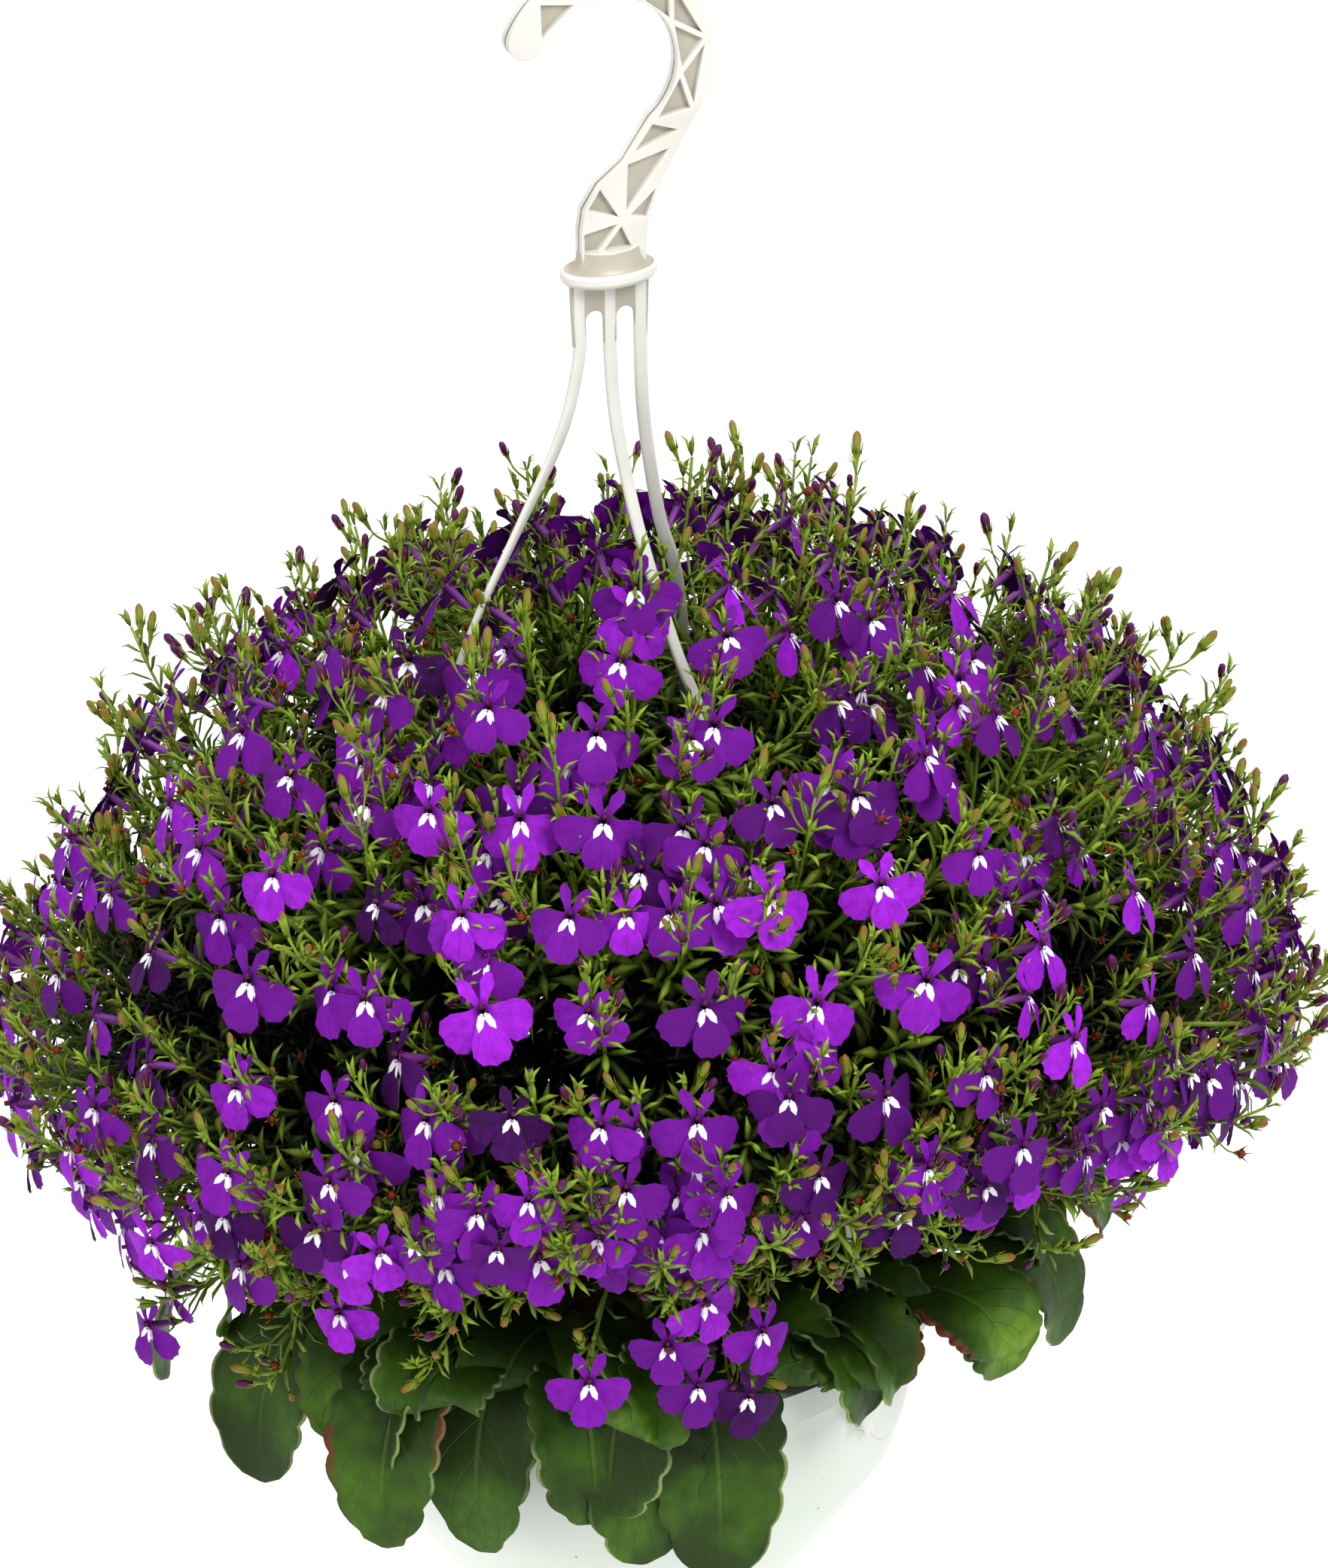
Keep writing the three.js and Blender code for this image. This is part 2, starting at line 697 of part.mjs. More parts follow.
// A bloom on a stalk that grows from a face of the stem: a lens with a lobed rim.
function growFlower(plant, face, spot, facing, size) {
  const x = new THREE.Vector3(0, 0, 1).cross(facing).normalize();
  const y = new THREE.Vector3().crossVectors(facing, x);
  const base = spot.clone().addScaledVector(facing, -2.3);
  const lean = base.clone().sub(plant.corners[face[0]]).normalize().add(facing).normalize();
  const ring = plant.growFrom(face, ringLike(plant, face, base, lean, 1.1));
  const turns = ring.map((corner) => {
    const arm = plant.corners[corner].clone().sub(base);
    return THREE.MathUtils.radToDeg(Math.atan2(arm.dot(y), arm.dot(x)));
  });
  const behind = BLOOM_OUTLINE.map(([angle]) => {
    const off = turns.map((turn) => turnBetween(turn, angle - 90));
    return ring[off.indexOf(Math.min(...off))];
  });
  const frame = new THREE.Matrix4().makeBasis(x, y, facing).setPosition(spot);
  const rim = BLOOM_OUTLINE.map(([angle, share]) => {
    const lift = angle > 130 && angle < 230 ? 1.4 : -1.6 * share;
    return plant.addCorner(polar(share * size, angle - 90, lift).applyMatrix4(frame));
  });
  const throat = plant.addCorner(new THREE.Vector3(0, 0, 0.5).applyMatrix4(frame));
  rim.forEach((here, i) => {
    const after = (i + 1) % rim.length;
    plant.faces.push([throat, here, rim[after]], [rim[after], here, behind[i]]);
    if (behind[after] !== behind[i]) plant.faces.push([rim[after], behind[i], behind[after]]);
  });
}

// A narrow leaf that stands out from a face of the stem and bends up.
function growNarrowLeaf(plant, face, spot, out, along, length) {
  const middle = spot.clone().addScaledVector(out, 0.55 * length).addScaledVector(along, 1.5);
  const tip = spot.clone().addScaledVector(out, length).addScaledVector(along, 0.45 * length);
  plant.closeAt(plant.growFrom(face, ringLike(plant, face, middle, out, 1.9, along)), tip);
}

// Degrees round the stem to which each of its three sides looks.
const SIDES = [150, 270, 390];
const LEAF_HEADINGS = [157, 247, 382]; // between the stalks

function headingOf(degrees, side, ahead) {
  const turn = radians(degrees);
  return side.clone().multiplyScalar(Math.cos(turn)).addScaledVector(ahead, Math.sin(turn));
}

// Gives each of up to three directions round the stem a side of its own, with least turning.
function shareSides(degrees) {
  const ways = [0, 1, 2].flatMap((first) => [
    [first, (first + 1) % 3, (first + 2) % 3],
    [first, (first + 2) % 3, (first + 1) % 3],
  ]);
  const turning = (way) =>
    Math.max(...degrees.map((heading, i) => turnBetween(heading, SIDES[way[i]])));
  return ways.sort((a, b) => turning(a) - turning(b))[0];
}

// From the soil straight up, then over to the middle bloom of the spray.
function stemCurve(ring, rootAngle, { down, round, depth }) {
  const { rootRadius, lift, reach } = RINGS[ring];
  const tip = domePoint(down, round, depth + 6);
  const inward = domeNormal(down, round).multiplyScalar(-reach);
  return new THREE.CubicBezierCurve3(
    polar(rootRadius, rootAngle, SOIL_TOP + 1),
    polar(rootRadius, rootAngle, SOIL_TOP + lift),
    tip.clone().add(inward),
    tip,
  );
}

const STEM_BENDS = [0, 0.3]; // shares of the stem between the soil and its first knot
const KNOTS = [66, 48, 37, 26, 12]; // back from the tip: where leaves and stalks spring
const KNOT_LENGTH = 1.7;
const BUD = { height: 10, out: 15, size: 1.9 };

function makeSpray(ring, third, place) {
  const firstRow = ring * ROWS_PER_RING;
  const { start, span } = thirdOf(firstRow, third);
  const round = start + (span / RINGS[ring].perThird) * (place + 0.5);
  const { rootRadius } = RINGS[ring];
  addRootHole(rootRadius, round, 2.2 * STEM_RADIUS);

  const blooms = [0, 1, 2].flatMap((row) => bloomPlaces(ring, third, place, firstRow + row));
  const middleRow = bloomPlaces(ring, third, place, firstRow + 1);
  const middle = blooms.findIndex(({ seed }) => seed === middleRow[1].seed);
  const [end] = blooms.splice(middle, 1);
  const path = stemCurve(ring, round, end);
  const length = path.getLength();
  const plant = new Growth();
  const side = polar(1, round + 90, 0);
  const faceAt = (share) => new THREE.Vector3().crossVectors(path.getTangentAt(share), side);
  const ringAt = (share, radius) =>
    plant.addRing(path.getPointAt(share), side, faceAt(share), radius, radius);
  const foot = polar(rootRadius, round, SOIL_TOP - ROOT_DEPTH);
  let last = plant.addRing(foot, side, polar(-1, round, 0), STEM_RADIUS, STEM_RADIUS);
  plant.faces.push([...last].reverse());
  for (const share of STEM_BENDS) {
    const next = ringAt(share, STEM_RADIUS);
    plant.bridge(last, next);
    last = next;
  }
  const knots = KNOTS.map((back, i) => {
    const share = 1 - back / length;
    const radius = STEM_RADIUS * (0.95 - 0.1 * i);
    const below = ringAt(share, radius);
    const above = ringAt(share + KNOT_LENGTH / length, radius);
    plant.bridge(last, below);
    last = above;
    const faces = plant.bridge(below, above);
    const sides = [faces[0], faces[2], faces[4]];
    return { spot: path.getPointAt(share), along: path.getTangentAt(share), sides };
  });
  const tip = path.getPointAt(1);
  const ahead = faceAt(1);
  const cap = ringAt(1, STEM_RADIUS * 0.6);
  plant.bridge(last, cap);
  plant.faces.push(cap);

  const flower = (face, { down, round: angle, depth, seed }) => {
    const facing = domeNormal(down, angle);
    facing.z += 0.12;
    facing.x += jitter(seed + 0.1, 0.2);
    facing.y += jitter(seed + 0.2, 0.2);
    const size = BLOOM_SIZE * (1 + jitter(seed + 0.4, 0.06));
    growFlower(plant, face, domePoint(down, angle, depth), facing.normalize(), size);
  };
  flower(cap, end);
  const turnOf = ({ down, round: angle, depth }) => {
    const away = domePoint(down, angle, depth).sub(tip);
    return THREE.MathUtils.radToDeg(Math.atan2(away.dot(ahead), away.dot(side)));
  };
  const ordered = blooms.map((bloom) => ({ ...bloom, turn: turnOf(bloom) }));
  ordered.sort((a, b) => a.turn - b.turn);
  const [lowLeaves, ...stalkKnots] = knots;
  const highLeaves = stalkKnots.pop();
  const leafSides = [...lowLeaves.sides];
  stalkKnots.forEach(({ sides }, tier) => {
    const own = ordered.filter((_, i) => i % 3 === tier);
    const chosen = shareSides(own.map(({ turn }) => turn));
    own.forEach((bloom, i) => flower(sides[chosen[i]], bloom));
    if (own.length === 3) return;
    // The side left free carries a bud, and the leaf above it is left out.
    const free = chosen[2];
    highLeaves.sides.forEach((face, i) => leafSides.push(i === free ? null : face));
    const out = headingOf(SIDES[free], side, ahead);
    const along = path.getTangentAt(1);
    const neck = tip.clone().addScaledVector(out, BUD.out).addScaledVector(along, BUD.height);
    const normal = along.clone().add(out).normalize();
    const collar = ringLike(plant, sides[free], neck, normal, BUD.size);
    plant.closeAt(plant.growFrom(sides[free], collar), neck.addScaledVector(along, 5));
  });
  leafSides.forEach((face, i) => {
    if (!face) return;
    const { spot, along } = i < 3 ? lowLeaves : highLeaves;
    const seed = ring * 50 + place * 7 + i + third * 0.5;
    const heading = LEAF_HEADINGS[i % 3] + jitter(seed, 4);
    const out = headingOf(heading, side, new THREE.Vector3().crossVectors(along, side));
    const leafLength = LEAFLET_LENGTH * (1 + jitter(seed + 0.5, 0.15));
    growNarrowLeaf(plant, face, spot, out, along, leafLength);
  });
  return plant.geometry();
}

RINGS.forEach(({ perThird }, ring) => {
  for (let third = 0; third < 3; third++) {
    for (let place = 0; place < perThird; place++) {
      const name = `spray_${ring + 1}_${third * perThird + place + 1}`;
      addPiece(name, makeSpray(ring, third, place), petalViolet);
    }
  }
});

addPiece("compost", cutFrom(turned(COMPOST_PROFILE), rootHoles), compost);

export default object;
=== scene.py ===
import math
import random

import bmesh
import bpy
import numpy as np
from mathutils import Matrix, Vector


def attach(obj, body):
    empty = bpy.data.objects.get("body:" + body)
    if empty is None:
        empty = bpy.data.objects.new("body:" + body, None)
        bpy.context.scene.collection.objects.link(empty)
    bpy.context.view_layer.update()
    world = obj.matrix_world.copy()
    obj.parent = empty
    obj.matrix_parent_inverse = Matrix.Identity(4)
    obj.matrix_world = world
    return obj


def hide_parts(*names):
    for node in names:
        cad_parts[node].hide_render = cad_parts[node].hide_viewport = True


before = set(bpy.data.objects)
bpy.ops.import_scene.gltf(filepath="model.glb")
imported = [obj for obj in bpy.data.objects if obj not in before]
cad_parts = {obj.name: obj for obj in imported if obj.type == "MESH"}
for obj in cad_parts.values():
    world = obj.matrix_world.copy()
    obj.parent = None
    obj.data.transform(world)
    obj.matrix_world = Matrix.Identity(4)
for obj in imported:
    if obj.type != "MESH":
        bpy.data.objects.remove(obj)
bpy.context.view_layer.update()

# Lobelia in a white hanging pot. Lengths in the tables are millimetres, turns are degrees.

MM = 0.001


def new_object(name, data):
    thing = bpy.data.objects.new(name, data)
    bpy.context.scene.collection.objects.link(thing)
    return thing


# ---- Camera, floor and light --------------------------------------------------------------

CAMERA_PLACE = (-0.6221, -1.5714, 1.125)
CAMERA_LOOK = (0.33409, 0.8251, -0.45562)
CAMERA_ROLL = -0.6
CAMERA_LENS = 159.35
FLOOR_DROP = -0.9  # the pot hangs from its hook, well above the floor
FLOOR_SIZE = 60
ROOM_LIGHT = 0.62
LAMP_TARGET = (0, 0, 0.25)
LAMPS = (  # name, place, size, power
    ("window_light", (0.5, -1.7, 2.0), 1.1, 46),
    ("ceiling_light", (0.2, 0.3, 2.3), 1.6, 34),
    ("side_light", (-1.9, -0.7, 1.0), 1.2, 12),
)


def set_camera():
    eye = bpy.data.cameras.new("studio_camera")
    eye.lens = CAMERA_LENS
    eye.sensor_width = 36
    eye.sensor_fit = "AUTO"
    eye.clip_start, eye.clip_end = 0.05, 200
    camera = new_object("studio_camera", eye)
    turn = Vector(CAMERA_LOOK).to_track_quat("-Z", "Y").to_matrix()
    roll = Matrix.Rotation(math.radians(CAMERA_ROLL), 3, "Z")
    camera.matrix_world = Matrix.Translation(CAMERA_PLACE) @ (turn @ roll).to_4x4()
    bpy.context.scene.camera = camera


def add_lamp(name, place, size, power):
    lamp = bpy.data.lights.new(name, "AREA")
    lamp.shape = "DISK"
    lamp.size = size
    lamp.energy = power
    holder = new_object(name, lamp)
    holder.location = place
    way = Vector(LAMP_TARGET) - Vector(place)
    holder.rotation_euler = way.to_track_quat("-Z", "Y").to_euler()


def set_light():
    world = bpy.data.worlds.new("pale_room")
    world.use_nodes = True
    back = world.node_tree.nodes["Background"]
    back.inputs["Color"].default_value = (1, 1, 1, 1)
    back.inputs["Strength"].default_value = ROOM_LIGHT
    bpy.context.scene.world = world
    for lamp in LAMPS:
        add_lamp(*lamp)
    bpy.context.scene.view_settings.view_transform = "Standard"
    bpy.context.scene.view_settings.look = "None"


# ---- Finishes -----------------------------------------------------------------------------


def rgb(red, green, blue):
    """A screen colour, 0 to 255, as the shader takes it."""
    def light(part):
        part /= 255
        return part / 12.92 if part <= 0.04045 else ((part + 0.055) / 1.055) ** 2.4
    return (light(red), light(green), light(blue), 1)


class Value:
    """One output in a finish's nodes. Sums on it are written as plain Python."""

    def __init__(self, finish, socket):
        self.finish, self.socket = finish, socket

    def math(self, operation, *sides):
        return self.finish.node("ShaderNodeMath", {"operation": operation}, dict(enumerate(sides)))

    def __add__(self, other):
        return self.math("ADD", self, other)

    def __sub__(self, other):
        return self.math("SUBTRACT", self, other)

    def __rsub__(self, other):
        return self.math("SUBTRACT", other, self)

    def __mul__(self, other):
        return self.math("MULTIPLY", self, other)

    def __pow__(self, other):
        return self.math("POWER", self, other)

    __radd__ = __add__
    __rmul__ = __mul__

    def size(self):
        return self.math("ABSOLUTE", self)

    def wave(self):
        return self.math("SINE", self)

    def least(self, other):
        return self.math("MINIMUM", self, other)

    def rise(self, low, high):
        """0 below low, 1 above high, and a smooth step between them."""
        values = {"Value": self, "From Min": low, "From Max": high}
        return self.finish.node("ShaderNodeMapRange", {"interpolation_type": "SMOOTHSTEP"}, values)


class Finish:
    """A material with its main shader, and the one way in which its nodes are added."""

    def __init__(self, name, **even):
        self.material = bpy.data.materials.new(name)
        self.material.use_nodes = True
        self.tree = self.material.node_tree
        self.shader = self.tree.nodes["Principled BSDF"]
        for socket, value in even.items():
            self.shader.inputs[socket.replace("_", " ")].default_value = value

    def node(self, kind, settings=None, values=None, output=0):
        node = self.tree.nodes.new(kind)
        for key, value in (settings or {}).items():
            if key == "stops":
                stops = node.color_ramp.elements
                stops.remove(stops[1])
                stops[0].position, stops[0].color = value[0]
                for place, colour in value[1:]:
                    stops.new(place).color = colour
            else:
                setattr(node, key, value)
        for key, value in (values or {}).items():
            self.feed(node.inputs[key], value)
        return Value(self, node.outputs[output])

    def feed(self, socket, value):
        if isinstance(value, Value):
            self.tree.links.new(value.socket, socket)
        else:
            socket.default_value = value

    def spot(self):
        return self.node("ShaderNodeTexCoord", output="Object")

    def shifted(self, distance):
        values = {0: self.spot(), 1: (distance, distance, distance)}
        return self.node("ShaderNodeVectorMath", {"operation": "ADD"}, values)

    def parts(self, vector):
        return [self.node("ShaderNodeSeparateXYZ", {}, {0: vector}, axis) for axis in range(3)]

    def map_of(self, name):
        across, along, _ = self.parts(self.node("ShaderNodeUVMap", {"uv_map": name}))
        return across, along

    def grade(self, name):
        return self.node("ShaderNodeAttribute", {"attribute_name": name}, output="Fac")

    def noise(self, scale, detail=2.0, vector=None):
        values = {"Vector": vector or self.spot(), "Scale": scale, "Detail": detail}
        return self.node("ShaderNodeTexNoise", {}, values)

    def blend(self, share, first, second):
        return self.node("ShaderNodeMix", {"data_type": "RGBA"}, {0: share, 6: first, 7: second}, 2)

    def shades(self, share, *stops):
        return self.node("ShaderNodeValToRGB", {"stops": stops}, {0: share})

    def done(self, colour, roughness=None, relief=None, depth=0.0003, strength=0.5):
        self.feed(self.shader.inputs["Base Color"], colour)
        if roughness is not None:
            self.feed(self.shader.inputs["Roughness"], roughness)
        if relief is not None:
            values = {"Strength": strength, "Distance": depth, "Height": relief}
            self.feed(self.shader.inputs["Normal"], self.node("ShaderNodeBump", {}, values))
        return self.material


def in_shade(finish, low, high):
    """The share of painted shade: 1 deep inside the mound, 0 at its surface."""
    return 1 - finish.grade("openness").rise(low, high)


def petal_finish():
    finish = Finish("lobelia_petal", Specular_IOR_Level=0.12)
    across, up = finish.map_of("bloom_face")
    across, drop = (across - 0.5) * BLOOM_MAP, (0.5 - up) * BLOOM_MAP
    aside = across.size()
    along = aside * 0.42 + drop * 0.91
    beside = (aside * 0.91 - drop * 0.42).size()
    half_width = ((along - 0.5) * 0.75).least((4.5 - along) * 0.55).least(0.72)
    white = (half_width - beside).rise(-0.05, 0.12)
    angle = across.math("ARCTAN2", across, drop)
    reach = (across * across + drop * drop) ** 0.5
    vein = (1 - (angle * 8.0).wave().size().rise(0.0, 0.3)) * reach.rise(2, 5) * 0.22
    tone = finish.grade("tone")
    violet = finish.shades(
        tone,
        (0.0, rgb(46, 4, 60)),
        (0.3, rgb(84, 10, 112)),
        (0.65, rgb(120, 19, 162)),
        (1.0, rgb(158, 32, 208)),
    )
    mottle = finish.noise(420, 3)
    violet = finish.blend(mottle.rise(0.3, 0.75) * 0.4, violet, rgb(86, 8, 118))
    violet = finish.blend(vein, violet, rgb(60, 6, 84))
    throat = (1 - reach.rise(0.6, 3.2)) * 0.6
    violet = finish.blend(throat, violet, rgb(58, 4, 78))
    # painted shade: petals deep inside the mound are darkened towards near black
    violet = finish.blend(in_shade(finish, 0.64, 0.99), violet, rgb(22, 3, 34))
    colour = finish.blend(white, violet, rgb(246, 242, 250))
    return finish.done(colour, mottle * 0.2 + 0.55, mottle - vein * 2, 0.0002, 0.4)


def shoot_leaf_finish():
    finish = Finish("shoot_leaf", Specular_IOR_Level=0.2)
    tone = finish.grade("tone")
    green = finish.shades(
        tone,
        (0.0, rgb(30, 42, 8)),
        (0.45, rgb(66, 86, 16)),
        (1.0, rgb(122, 148, 34)),
    )
    ahead = finish.grade("ripeness")
    green = finish.blend(ahead * ahead * 0.45, green, rgb(146, 172, 50))
    flush = finish.noise(60, 2).rise(0.6, 0.75) * 0.35
    green = finish.blend(flush, green, rgb(96, 62, 34))
    # painted shade: leaves deep inside the mound are darkened towards near black
    colour = finish.blend(in_shade(finish, 0.76, 1.03), green, rgb(6, 9, 3))
    grain = finish.noise(900, 2)
    return finish.done(colour, grain * 0.25 + 0.38, grain, 0.0001, 0.3)


def stem_finish():
    finish = Finish("stem", Specular_IOR_Level=0.2)
    spots = finish.noise(70, 3)
    green = finish.blend(spots.rise(0.35, 0.7), rgb(120, 148, 44), rgb(88, 110, 28))
    green = finish.blend(finish.noise(35, 1).rise(0.56, 0.7) * 0.4, green, rgb(112, 64, 44))
    # painted shade: stems deep inside the mound are darkened towards near black
    colour = finish.blend(in_shade(finish, 0.78, 0.98), green, rgb(7, 10, 3))
    return finish.done(colour, spots * 0.2 + 0.4, spots, 0.0001, 0.3)


def bud_finish():
    finish = Finish("bud_and_cup", Specular_IOR_Level=0.25)
    ripeness = finish.grade("ripeness") + (finish.noise(260, 2) - 0.5) * 0.1
    colour = finish.shades(
        ripeness,
        (0.0, rgb(112, 142, 34)),
        (0.22, rgb(124, 136, 36)),
        (0.4, rgb(118, 74, 26)),
        (0.5, rgb(128, 36, 18)),
        (0.6, rgb(70, 14, 30)),
        (0.78, rgb(74, 12, 74)),
        (1.0, rgb(122, 56, 150)),
    )
    # painted shade: buds and cups deep inside the mound are darkened towards near black
    colour = finish.blend(in_shade(finish, 0.72, 0.95), colour, rgb(12, 8, 8))
    grain = finish.noise(700, 2)
    return finish.done(colour, grain * 0.2 + 0.4, grain, 0.0001, 0.3)


def broad_leaf_finish():
    finish = Finish("broad_leaf", Specular_IOR_Level=0.15)
    across, along = finish.map_of("leaf_face")
    aside = (across - 0.5).size() * 2
    tone = finish.grade("tone")
    blotch = finish.noise(38, 3)
    fine = finish.noise(260, 3)
    # the leaf's own blotches and tone, plus painted light that grows towards its hanging tip, out
    # of the mound's shade
    light = blotch.rise(0.3, 0.72) * 0.5 + along.rise(0.35, 1.0) * 0.3 + tone * 0.4 - 0.1
    green = finish.shades(
        light,
        (0.0, rgb(26, 40, 10)),
        (0.4, rgb(38, 60, 14)),
        (0.75, rgb(64, 100, 20)),
        (1.0, rgb(102, 138, 38)),
    )
    green = finish.blend(fine.rise(0.35, 0.7) * 0.35, green, rgb(34, 54, 20))
    side_vein = ((along * 7 - aside * 2.2) * math.pi).wave().size()
    vein = (1 - side_vein.rise(0.0, 0.14)) * (1 - aside.rise(0.6, 0.95)) * along.rise(0.02, 0.15)
    middle = (1 - aside.rise(0.01, 0.06)) * (1 - along.rise(0.7, 0.95))
    green = finish.blend(vein * 0.22, green, rgb(96, 130, 56))
    green = finish.blend(middle * 0.25, green, rgb(104, 134, 60))
    rim = aside.rise(0.93, 0.985) * along.rise(0.1, 0.3)
    pale = finish.noise(30, 2).rise(0.48, 0.6)
    green = finish.blend(rim * pale * 0.6, green, rgb(150, 166, 108))
    worn = finish.noise(24, 2, finish.shifted(0.3)).rise(0.55, 0.64) * aside.rise(0.8, 0.98)
    colour = finish.blend(worn * tone.rise(0.3, 0.7) * 0.85, green, rgb(112, 46, 34))
    relief = fine * 0.5 + blotch * 2 - vein - middle * 1.5
    return finish.done(colour, fine * 0.2 + 0.4, relief, 0.0006, 0.6)


def pot_finish():
    finish = Finish("pot_plastic", Coat_Weight=0.08)
    cloud = finish.noise(9, 3)
    white = finish.blend(cloud.rise(0.3, 0.7), rgb(208, 214, 206), rgb(196, 206, 195))
    height = finish.parts(finish.spot())[2]
    # painted shade: the pot grows darker towards its bottom
    white = finish.blend(height.rise(0.08, 0.0) * 0.6, white, rgb(180, 194, 174))
    cell = {"Vector": finish.spot(), "Scale": 170.0}
    near = finish.node("ShaderNodeTexVoronoi", {}, cell, "Distance")
    lot = finish.parts(finish.node("ShaderNodeTexVoronoi", {}, cell, "Color"))[0]
    speck = (1 - near.rise(0.05, 0.11)) * lot.rise(0.8, 0.82)
    colour = finish.blend(speck * 0.75, white, rgb(112, 84, 58))
    thread = (finish.noise(16, 1.5) - 0.5).size().rise(0.003, 0.001)
    thread = thread * finish.noise(11, 1, finish.shifted(0.7)).rise(0.56, 0.62)
    colour = finish.blend(thread * 0.55, colour, rgb(120, 104, 84))
    grain = finish.noise(600, 2)
    return finish.done(colour, grain * 0.12 + 0.3, grain - speck, 0.00008, 0.25)


def hanger_finish(name, light, dark):
    finish = Finish(name, Coat_Weight=0.05)
    cloud = finish.noise(50, 3)
    colour = finish.blend(cloud.rise(0.3, 0.7), light, dark)
    grain = finish.noise(900, 2)
    return finish.done(colour, grain * 0.15 + 0.3, grain, 0.00006, 0.25)


def compost_finish():
    finish = Finish("compost")
    crumb = finish.noise(240, 4)
    colour = finish.blend(crumb.rise(0.35, 0.65), rgb(34, 24, 17), rgb(88, 62, 42))
    return finish.done(colour, crumb * 0.1 + 0.85, crumb, 0.0015, 0.9)


def floor_finish():
    white = dict(Emission_Color=(1, 1, 1, 1), Emission_Strength=0.32)
    finish = Finish("pale_floor", Roughness=0.9, Specular_IOR_Level=0.1, **white)
    cloud = finish.noise(0.6, 2)
    return finish.done(finish.blend(cloud, rgb(252, 252, 251), rgb(249, 249, 248)))


# ---- Shaping tools ------------------------------------------------------------------------


def start(add, name, **how):
    """Adds a primitive with nothing else selected, and opens it for shaping."""
    bpy.ops.object.select_all(action="DESELECT")
    add(**how)
    piece = bpy.context.object
    piece.name = name
    bpy.ops.object.mode_set(mode="EDIT")
    bpy.ops.mesh.select_all(action="DESELECT")
    return piece


def close(piece, finish=None, smooth=40):
    """Leaves shaping, with the piece at the origin and its faces outward."""
    bpy.ops.object.mode_set(mode="OBJECT")
    bpy.ops.object.transform_apply(location=True, rotation=True, scale=True)
    if finish:
        paint(piece, finish)
    if smooth:
        smooth_by(smooth)
    return piece


def paint(piece, finish):
    piece.data.materials.clear()
    piece.data.materials.append(finish)


def smooth_by(degrees):
    bpy.ops.object.shade_smooth_by_angle(angle=math.radians(degrees))


def pick(piece, wanted, what="VERT"):
    """Selects the corners or faces whose middle is wanted."""
    bpy.ops.mesh.select_mode(type=what)
    bpy.ops.mesh.select_all(action="DESELECT")
    mesh = bmesh.from_edit_mesh(piece.data)
    for part in mesh.verts if what == "VERT" else mesh.faces:
        middle = part.co if what == "VERT" else part.calc_center_median()
        part.select_set(bool(wanted(piece.matrix_world @ middle)))
    mesh.select_flush_mode()
    bmesh.update_edit_mesh(piece.data)


def face_outward():
    bpy.ops.mesh.select_all(action="SELECT")
    bpy.ops.mesh.normals_make_consistent(inside=False)


def mend():
    """Merges doubled corners and turns all faces outward."""
    bpy.ops.mesh.select_all(action="SELECT")
    bpy.ops.mesh.remove_doubles(threshold=0.01 * MM)
    face_outward()


def select_only(*pieces):
    bpy.ops.object.select_all(action="DESELECT")
    for piece in pieces:
        piece.select_set(True)
    bpy.context.view_layer.objects.active = pieces[0]


def modify(piece, kind, **settings):
    modifier = piece.modifiers.new(kind.lower(), kind)
    for key, value in settings.items():
        setattr(modifier, key, value)
    select_only(piece)
    bpy.ops.object.modifier_apply(modifier=modifier.name)


def round_edges(piece, width, segments=2, **settings):
    modify(piece, "BEVEL", width=width * MM, segments=segments, **settings)


def join(name, *pieces):
    select_only(*pieces)
    bpy.ops.object.join()
    piece = bpy.context.object
    piece.name = name
    return piece


def twin(piece, turn):
    """A copy with its own mesh, turned by a matrix."""
    copy = piece.copy()
    copy.data = piece.data.copy()
    bpy.context.scene.collection.objects.link(copy)
    copy.data.transform(turn)
    return copy


def turn_profile(name, profile, steps=160):
    """Draws a profile as a chain of edges and spins it round the upright axis."""
    piece = start(bpy.ops.mesh.primitive_plane_add, name, size=MM)
    bpy.ops.mesh.select_all(action="SELECT")
    bpy.ops.mesh.merge(type="CENTER")
    first = profile[0]
    bpy.ops.transform.translate(value=(first[0] * MM, 0, first[1] * MM))
    for (radius, height), (further, higher) in zip(profile, profile[1:]):
        step = ((further - radius) * MM, 0, (higher - height) * MM)
        bpy.ops.mesh.extrude_vertices_move(TRANSFORM_OT_translate={"value": step})
    bpy.ops.mesh.select_all(action="SELECT")
    bpy.ops.mesh.spin(steps=steps, angle=math.tau, center=(0, 0, 0), axis=(0, 0, 1))
    mend()
    return piece


def draw_lines(name, curve, lines, closed=False):
    """Lays straight-sided lines of (spot, radius) marks into a curve and makes it a mesh."""
    for line in lines:
        spline = curve.splines.new("POLY")
        spline.points.add(len(line) - 1)
        for point, (spot, radius) in zip(spline.points, line):
            point.co, point.radius = (*spot, 1), radius
        spline.use_cyclic_u = closed
    piece = new_object(name, curve)
    select_only(piece)
    bpy.ops.object.convert(target="MESH")
    return bpy.context.object


def corners_of(piece):
    return np.array([v.co for v in piece.data.vertices])


def move_corners(mesh, places):
    mesh.vertices.foreach_set("co", (np.array(places) * MM).astype(np.float32).ravel())


def store(mesh, name, values):
    """Keeps a number on each corner, for a finish to read."""
    data = mesh.attributes.new(name, "FLOAT", "POINT").data
    data.foreach_set("value", np.asarray(values, np.float32))


def chance(seed):
    value = math.sin(seed * 12.9898) * 43758.5453
    return value - math.floor(value)


def jitter(seed, reach):
    return (2 * chance(seed) - 1) * reach


def polar(radius, degrees, height=0.0):
    angle = math.radians(degrees)
    return np.array([radius * math.cos(angle), radius * math.sin(angle), height])


def unit(vector):
    return vector / max(np.linalg.norm(vector), 1e-9)


